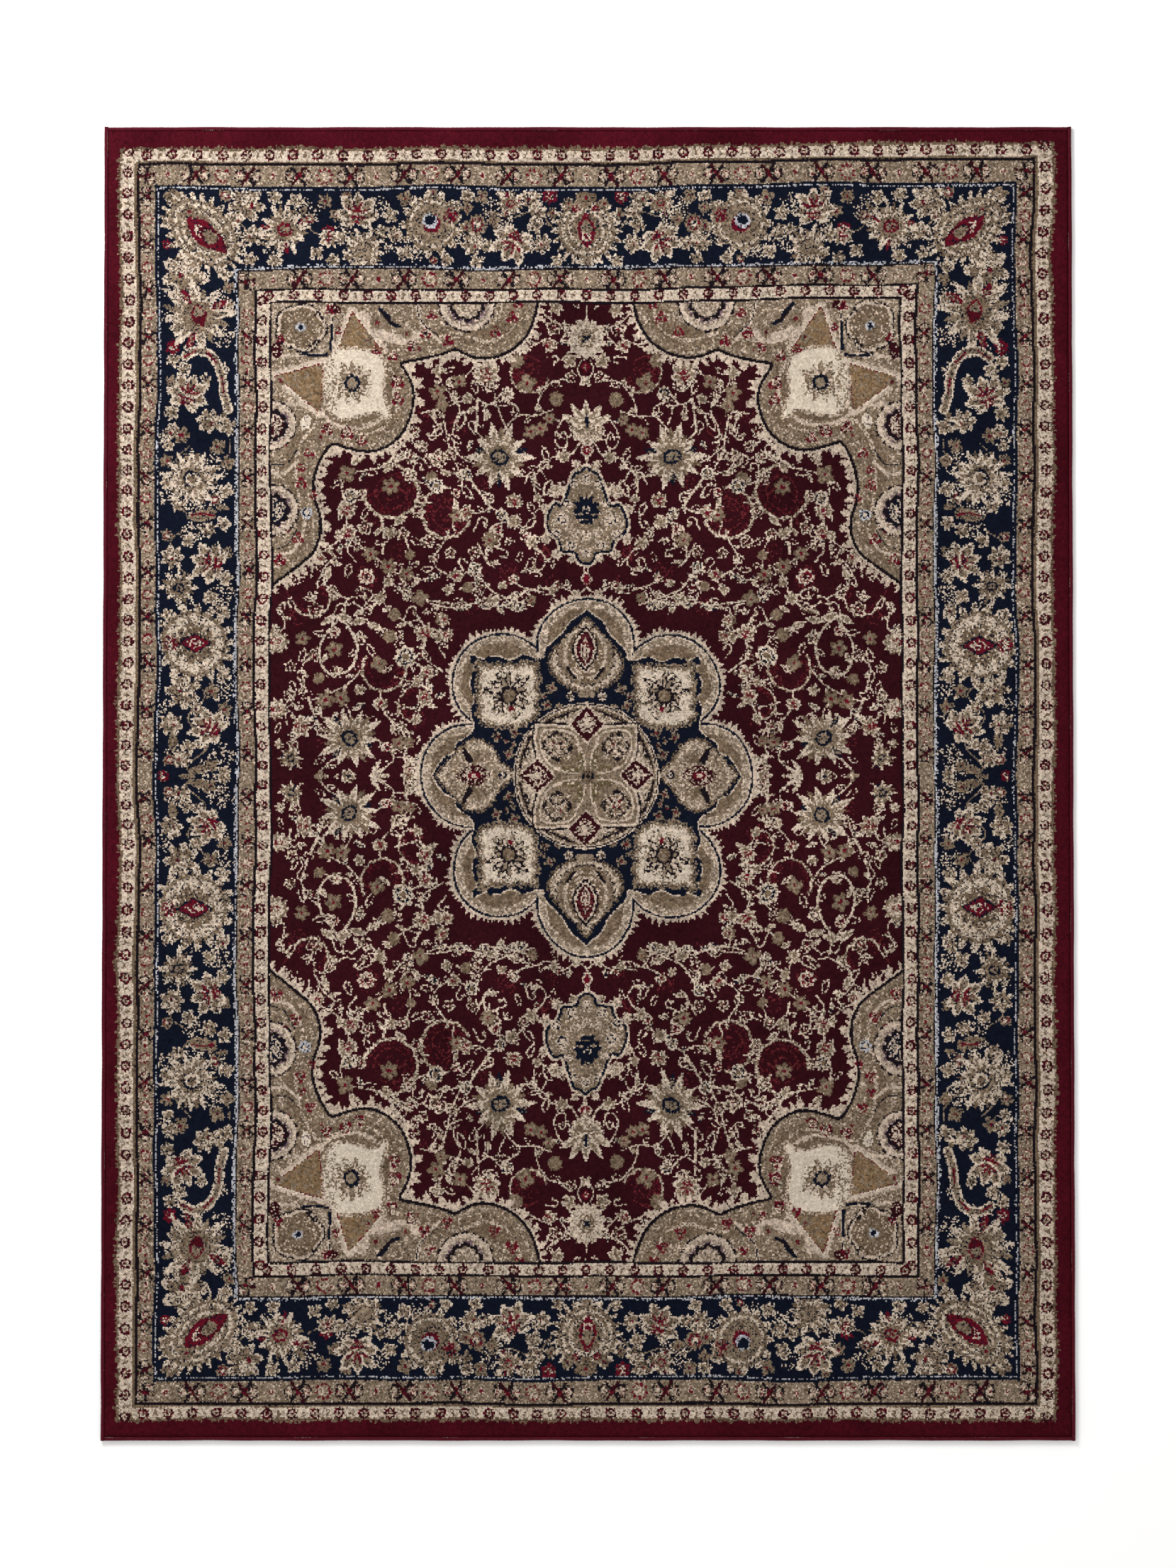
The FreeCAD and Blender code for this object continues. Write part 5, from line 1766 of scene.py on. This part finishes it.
def painted_nap_sheen_group():
    """Broad soft patches of painted sheen and painted shade, where the pile leans towards or away from the
    light.
    """
    tree, given, result = new_group(
        "Painted Nap Sheen",
        {"Color": (COLOUR, (0.5, 0.5, 0.5, 1)), "Strength": (NUMBER, 0.3), "Size": (NUMBER, 9.0)},
        {"Color": COLOUR, "Lean": NUMBER})
    place = add_node(tree, "ShaderNodeTexCoord").outputs["Object"]
    broad = add_node(tree, "ShaderNodeTexNoise", Vector=place, Scale=given.outputs["Size"], Detail=2.0,
                     Roughness=0.45, Distortion=0.6)
    swing = maths(tree, "SUBTRACT", broad.outputs["Fac"], 0.5)
    lean = maths(tree, "MULTIPLY", swing, given.outputs["Strength"])
    gain = maths(tree, "ADD", maths(tree, "MULTIPLY", lean, 2.0), 1.0)
    tree.links.new(lightened(tree, given.outputs["Color"], gain), result.inputs["Color"])
    tree.links.new(lean, result.inputs["Lean"])
    return tree


def weave_group():
    """Threads over and under each other, as a height and a light and dark mask."""
    tree, given, result = new_group(
        "Plain Weave", {"Warp Count": (NUMBER, 1500.0), "Weft Count": (NUMBER, 1500.0)},
        {"Height": NUMBER, "Thread": NUMBER})
    place = add_node(tree, "ShaderNodeTexCoord").outputs["Object"]
    split = add_node(tree, "ShaderNodeSeparateXYZ", Vector=place)
    warp = maths(tree, "SINE", maths(tree, "MULTIPLY", split.outputs["X"], given.outputs["Warp Count"]))
    weft = maths(tree, "SINE", maths(tree, "MULTIPLY", split.outputs["Y"], given.outputs["Weft Count"]))
    height = maths(tree, "MULTIPLY", warp, weft)
    tree.links.new(height, result.inputs["Height"])
    tree.links.new(maths(tree, "ADD", maths(tree, "MULTIPLY", height, 0.5), 0.5), result.inputs["Thread"])
    return tree


YARN_GRAIN, PAINTED_NAP_SHEEN, WEAVE = yarn_grain_group(), painted_nap_sheen_group(), weave_group()


def placed(tree, group, **inputs):
    """A shader group set into a material."""
    made = tree.nodes.new("ShaderNodeGroup")
    made.node_tree = group
    for name, value in inputs.items():
        socket = made.inputs[name.replace("_", " ")]
        feed(tree, socket, value)
    return made


def new_material(name, roughness, sheen=0.0, sheen_roughness=0.5, specular=0.5):
    """A material with its one shader, whose plain numbers are set on the shader's own sockets."""
    material = bpy.data.materials.new(name)
    material.use_nodes = True
    shader = material.node_tree.nodes["Principled BSDF"]
    shader.inputs["Roughness"].default_value = roughness
    shader.inputs["Sheen Weight"].default_value = sheen
    shader.inputs["Sheen Roughness"].default_value = sheen_roughness
    shader.inputs["Specular IOR Level"].default_value = specular
    return material, material.node_tree, shader


def bump(tree, shader, height, strength, distance):
    """Turns a height into the shader's relief."""
    made = add_node(tree, "ShaderNodeBump", Height=height, Strength=strength, Distance=distance)
    tree.links.new(made.outputs["Normal"], shader.inputs["Normal"])


def pile_material(name, painted_sheen_strength, painted_sheen_size, sheen, contrast):
    """Cut pile, dyed tuft by tuft, under broad patches of painted sheen and painted shade."""
    material, tree, shader = new_material(
        name, roughness=0.85, sheen=sheen, sheen_roughness=0.4, specular=0.02)
    # The "dye" attribute holds each tuft's dye together with its painted shade.
    dyed = add_node(tree, "ShaderNodeAttribute", {"attribute_name": "dye"}).outputs["Color"]
    crimp = add_node(tree, "ShaderNodeAttribute", {"attribute_name": "frieze"}).outputs["Fac"]
    # Painted sheen and painted shade: broad patches lighten or darken the tufts' colours.
    sheen_painted = placed(tree, PAINTED_NAP_SHEEN, Color=dyed, Strength=painted_sheen_strength, Size=painted_sheen_size)
    grained = placed(tree, YARN_GRAIN, Color=sheen_painted.outputs["Color"], Crimp=crimp, Contrast=contrast)
    tree.links.new(grained.outputs["Color"], shader.inputs["Base Color"])
    rough = maths(tree, "ADD", maths(tree, "MULTIPLY", crimp, 0.2), 0.72)
    tree.links.new(rough, shader.inputs["Roughness"])
    bump(tree, shader, grained.outputs["Height"], 0.6, 0.0012)
    return material


def yarn_material(name, dark, light):
    """Wrapped or laid yarn in one dye, mottled between a dark and a light shade."""
    material, tree, shader = new_material(name, roughness=0.75, sheen=0.0, specular=0.06)
    place = add_node(tree, "ShaderNodeTexCoord").outputs["Object"]
    mottle = add_node(tree, "ShaderNodeTexNoise", Vector=place, Scale=120.0, Detail=4.0, Roughness=0.6)
    tint = mixed(tree, "MIX", mottle.outputs["Fac"], (*linear(dark), 1), (*linear(light), 1))
    grained = placed(tree, YARN_GRAIN, Color=tint, Crimp=0.3, Contrast=0.8)
    tree.links.new(grained.outputs["Color"], shader.inputs["Base Color"])
    bump(tree, shader, grained.outputs["Height"], 0.5, 0.0008)
    return material


def woven_material(name, dark, light, warp_count, weft_count):
    """A plain-woven ground of thick thread."""
    material, tree, shader = new_material(name, roughness=0.9, sheen=0.1, specular=0.2)
    weave = placed(tree, WEAVE, Warp_Count=warp_count, Weft_Count=weft_count)
    tint = mixed(tree, "MIX", weave.outputs["Thread"], (*linear(dark), 1), (*linear(light), 1))
    # Painted sheen and painted shade: broad patches lighten or darken the woven back.
    sheen_painted = placed(tree, PAINTED_NAP_SHEEN, Color=tint, Strength=0.25, Size=5.0)
    grained = placed(tree, YARN_GRAIN, Color=sheen_painted.outputs["Color"], Crimp=0.2, Contrast=0.5)
    tree.links.new(grained.outputs["Color"], shader.inputs["Base Color"])
    fuzz = maths(tree, "MULTIPLY", grained.outputs["Height"], 0.4)
    bump(tree, shader, maths(tree, "ADD", weave.outputs["Height"], fuzz), 0.7, 0.0006)
    return material


MATERIALS = {
    "burgundy_pile": pile_material("burgundy cut pile", 0.5, 7.0, 0.0, 0.7),
    "navy_pile": pile_material("navy cut pile", 0.3, 9.0, 0.0, 0.8),
    "cream_pile": pile_material("cream heat-set pile", 0.16, 11.0, 0.03, 1.0),
    "beige_pile": pile_material("beige heat-set pile", 0.16, 11.0, 0.03, 1.0),
}


def finished(piece, nodes, material):
    """Gives a piece its body and its finish, and hides the CAD nodes that it stands for."""
    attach(piece, "root")
    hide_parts(*nodes)
    piece.data.materials.append(material)
    return piece


PILE_SLOTS = {
    "plain_band": "burgundy_pile", "field": "burgundy_pile", "main_border": "navy_pile",
    "medallion_ground": "navy_pile", "outer_guard": "cream_pile", "inner_guard": "cream_pile",
    "medallion_square": "cream_pile", "medallion_roundel": "cream_pile",
}


def make_pile():
    """Every piece of pile, cut from the one grid of tufts, so that neighbours meet tuft to tuft."""
    right, top = np.broadcast_to(middle_x > 0, tuft_shape), np.broadcast_to(middle_y > 0, tuft_shape)
    pieces = []

    def cut(name, area_name, chosen, nodes):
        slot = PILE_SLOTS.get(area_name, "beige_pile")
        chosen = chosen & (area == AREAS.index(area_name))
        pieces.append(finished(pile_piece(name, chosen), nodes, MATERIALS[slot]))

    everywhere = np.ones(tuft_shape, bool)
    sides = ("bottom", "right", "top", "left")
    for band in BANDS:
        if band != "main_border":
            cut(f"{band}_pile", band, everywhere, [f"{band}_{side}" for side in sides])
    side_start, end_start = BAND_STARTS["main_border"]
    side_stop, end_stop = BAND_STARTS["inner_minor_border"]
    side_share = (HALF_WIDE - np.abs(middle_x) - side_start) / (side_stop - side_start)
    end_share = (HALF_LONG - np.abs(middle_y) - end_start) / (end_stop - end_start)
    on_side = side_share < end_share
    for side, chosen in (("right", on_side & right), ("left", on_side & ~right),
                         ("top", ~on_side & top), ("bottom", ~on_side & ~top)):
        cut(f"main_border_{side}_pile", "main_border", chosen, [f"main_border_{side}"])
    for quarter_name, (x_sign, y_sign) in QUARTERS.items():
        chosen = (right if x_sign > 0 else ~right) & (top if y_sign > 0 else ~top)
        for name in ("field", "corner_piece", "medallion_band", "medallion_square"):
            cut(f"{name}_{quarter_name}_pile", name, chosen, [f"{name}_{quarter_name}"])
    for side, chosen in (("right", right), ("left", ~right)):
        cut(f"medallion_ground_{side}_pile", "medallion_ground", chosen, [f"medallion_ground_{side}"])
        cut(f"medallion_palmette_{side}_pile", "side_palmette", chosen, [f"medallion_palmette_{side}"])
    for side, chosen in (("top", top), ("bottom", ~top)):
        cut(f"medallion_palmette_{side}_pile", "end_palmette", chosen, [f"medallion_palmette_{side}"])
        cut(f"pendant_{side}_pile", "pendant", chosen, [f"pendant_{side}"])
    cut("medallion_roundel_pile", "medallion_roundel", everywhere, ["medallion_roundel"])
    return pieces


# --- The serged edge ----------------------------------------------------------------------------------

ROUNDING = 2.6
WRAP_PITCH = 3.3
WRAP_STEPS = 3
WRAP_POINTS = 12
WRAP_DEEP = 0.45


def serged_edge(side):
    """A sleeve of yarn wrapped round and round the edge, hollow where the core runs."""
    low, high = (Vector(corner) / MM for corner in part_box(f"serging_{side}"))
    upright = side in ("left", "right")
    core_low, core_high = (Vector(corner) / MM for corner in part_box(
        f"selvedge_{side}" if upright else f"turned_end_{side}"))
    run = (high - low).y if upright else (high - low).x
    centre, half = (low + high) / 2, (high - low) / 2
    core_half = (core_high - core_low) / 2
    half_wide, core_wide = (half.x, core_half.x) if upright else (half.y, core_half.y)
    rings = int(run / WRAP_PITCH * WRAP_STEPS)
    angle = np.linspace(0, math.tau, WRAP_POINTS, endpoint=False)
    place = np.linspace(-run / 2, run / 2, rings + 1)[:, None]
    wobble = 0.25 * np.sin(place / 47) + 0.2 * np.sin(place / 19 + 2)
    slant = angle * WRAP_PITCH / math.tau
    ripple = WRAP_DEEP * np.abs(np.sin(math.pi * (place + slant) / WRAP_PITCH))
    ripple = ripple + 0.12 * random.normal(size=(rings + 1, WRAP_POINTS))
    round_off = (np.abs(np.cos(angle)) ** ROUNDING + np.abs(np.sin(angle)) ** ROUNDING) ** (-1 / ROUNDING)
    outward = (half_wide - WRAP_DEEP + ripple) * np.cos(angle) * round_off + wobble
    upward = (half.z - WRAP_DEEP + ripple) * np.sin(angle) * round_off
    outward = np.clip(outward, -half_wide, half_wide)
    upward = np.clip(upward, -half.z, half.z)
    outer = np.stack(np.broadcast_arrays(outward, place, upward), axis=-1)
    bore_across = core_wide * 1.02 * np.cos(angle) * round_off
    bore_up = core_half.z * 1.02 * np.sin(angle) * round_off
    bore = np.stack([np.stack([bore_across, np.full_like(angle, end), bore_up], axis=-1)
                     for end in (-run / 2, run / 2)])
    points = np.concatenate([outer.reshape(-1, 3), bore.reshape(-1, 3)])
    if not upright:
        points = points[:, [1, 0, 2]] * (1, -1, 1)
    points = (points + centre) * MM
    index = np.arange(len(points)).reshape(-1, WRAP_POINTS)
    after = np.roll(index, -1, axis=1)
    skin = np.stack([index[:rings], after[:rings], after[1:rings + 1], index[1:rings + 1]], axis=-1)
    near_bore, far_bore = rings + 1, rings + 2
    loops = [skin.reshape(-1, 4)]
    for first, second in ((near_bore, 0), (far_bore, near_bore), (rings, far_bore)):
        loops.append(np.stack([index[first], after[first], after[second], index[second]], axis=-1))
    quads = np.concatenate(loops)
    mesh = bpy.data.meshes.new(f"serged_edge_{side}")
    mesh.from_pydata(points.tolist(), [], quads.tolist())
    work = bmesh.new()
    work.from_mesh(mesh)
    bmesh.ops.recalc_face_normals(work, faces=work.faces[:])
    work.to_mesh(mesh)
    work.free()
    mesh.polygons.foreach_set("use_smooth", [True] * len(mesh.polygons))
    return new_object(f"serged_edge_{side}", mesh)


# --- The woven layers under the pile ---------------------------------------------------------------

def woven_layer(node, name, rib_pitch, rib_deep, along_y, other_parts=20):
    """A thin closed sheet with ribs on both faces, in the space of a CAD layer."""
    low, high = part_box(node)
    size = high - low
    run = size.y if along_y else size.x
    parts = int(run / (rib_pitch * MM)) * 2
    bpy.ops.object.select_all(action="DESELECT")
    bpy.ops.mesh.primitive_grid_add(
        x_subdivisions=other_parts if along_y else parts, y_subdivisions=parts if along_y else other_parts,
        size=1, location=(0, 0, 0))
    sheet = bpy.context.object
    sheet.name = sheet.data.name = name
    co = np.zeros(len(sheet.data.vertices) * 3)
    sheet.data.vertices.foreach_get("co", co)
    co = co.reshape(-1, 3)
    step = np.round((co[:, 1 if along_y else 0] + 0.5) * parts).astype(int)
    co[:, 0] = co[:, 0] * size.x + (low.x + high.x) / 2
    co[:, 1] = co[:, 1] * size.y + (low.y + high.y) / 2
    co[:, 2] = low.z + np.where(step % 2 == 0, rib_deep * MM, 0)
    sheet.data.vertices.foreach_set("co", co.ravel())
    sheet.data.update()
    thick = sheet.modifiers.new("thickness", "SOLIDIFY")
    thick.thickness = size.z - rib_deep * MM
    thick.offset = 1
    bpy.ops.object.modifier_apply(modifier="thickness")
    return sheet


# --- Stage, light and camera ---------------------------------------------------------------------------

def stage_and_light():
    bpy.ops.object.select_all(action="DESELECT")
    bpy.ops.mesh.primitive_plane_add(size=14, location=(0, 0, -0.0006))
    floor = bpy.context.object
    floor.name = "pale_floor"
    material, tree, shader = new_material("pale floor", roughness=0.9, specular=0.1)
    place = add_node(tree, "ShaderNodeTexCoord").outputs["Object"]
    mottle = add_node(tree, "ShaderNodeTexNoise", Vector=place, Scale=2.0, Detail=2.0)
    tint = mixed(tree, "MIX", mottle.outputs["Fac"], (0.95, 0.95, 0.95, 1), (0.97, 0.97, 0.97, 1))
    tree.links.new(tint, shader.inputs["Base Color"])
    floor.data.materials.append(material)

    world = bpy.data.worlds.new("studio")
    world.use_nodes = True
    background = world.node_tree.nodes["Background"]
    background.inputs["Color"].default_value = (1.0, 0.995, 0.985, 1)
    background.inputs["Strength"].default_value = 0.8
    bpy.context.scene.world = world

    for name, where, aim, size, power in (
        ("soft_key", (-1.6, 2.1, 2.4), (-0.4, 0.5, 0), 1.4, 112),
        ("soft_fill", (2.6, -2.6, 4.0), (0, 0, 0), 3.0, 6),
    ):
        light = bpy.data.lights.new(name, "AREA")
        light.shape, light.size, light.energy = "DISK", size, power
        lamp = bpy.data.objects.new(name, light)
        bpy.context.scene.collection.objects.link(lamp)
        lamp.location = where
        lamp.rotation_euler = (Vector(aim) - Vector(where)).to_track_quat("-Z", "Y").to_euler()


VIEW_TALL = 2.747
CAMERA_HIGH = 5.5
CAMERA_LEAN = 0.11
CAMERA_BACK = 0.005


def set_camera():
    """Looks straight down from high above, a little from the near end."""
    camera_data = bpy.data.cameras.new("above")
    camera_data.sensor_fit = "VERTICAL"
    camera_data.angle = 2 * math.atan(VIEW_TALL / 2 / CAMERA_HIGH)
    camera = bpy.data.objects.new("above", camera_data)
    bpy.context.scene.collection.objects.link(camera)
    camera.location = (0, -CAMERA_LEAN - CAMERA_BACK, CAMERA_HIGH)
    camera.rotation_euler = (math.atan(CAMERA_LEAN / CAMERA_HIGH), 0, 0)
    bpy.context.scene.camera = camera


set_camera()
pile = make_pile()

edge_yarn = yarn_material("burgundy serging yarn", (52, 8, 18), (86, 18, 32))
ground_yarn = yarn_material("undyed ground yarn", (150, 138, 118), (196, 184, 162))
for side in ("bottom", "right", "top", "left"):
    finished(serged_edge(side), [f"serging_{side}"], edge_yarn)
for node in ("selvedge_right", "selvedge_left", "turned_end_top", "turned_end_bottom"):
    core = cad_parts[node]
    core.data.materials.clear()
    core.data.materials.append(ground_yarn)

back = finished(woven_layer("back_size_coat", "sized_back", 4.4, 0.25, True), ["back_size_coat"],
                woven_material("sized woven back", (120, 108, 88), (190, 176, 150), 1700, 1428))
stuffer = finished(woven_layer("stuffer_warp_layer", "stuffer_warps", 9, 0.3, False), ["stuffer_warp_layer"],
                   ground_yarn)
weft = finished(woven_layer("weft_ground_layer", "weft_ground", 9, 0.3, True), ["weft_ground_layer"],
                ground_yarn)

stage_and_light()
bpy.context.scene.view_settings.view_transform = "Standard"
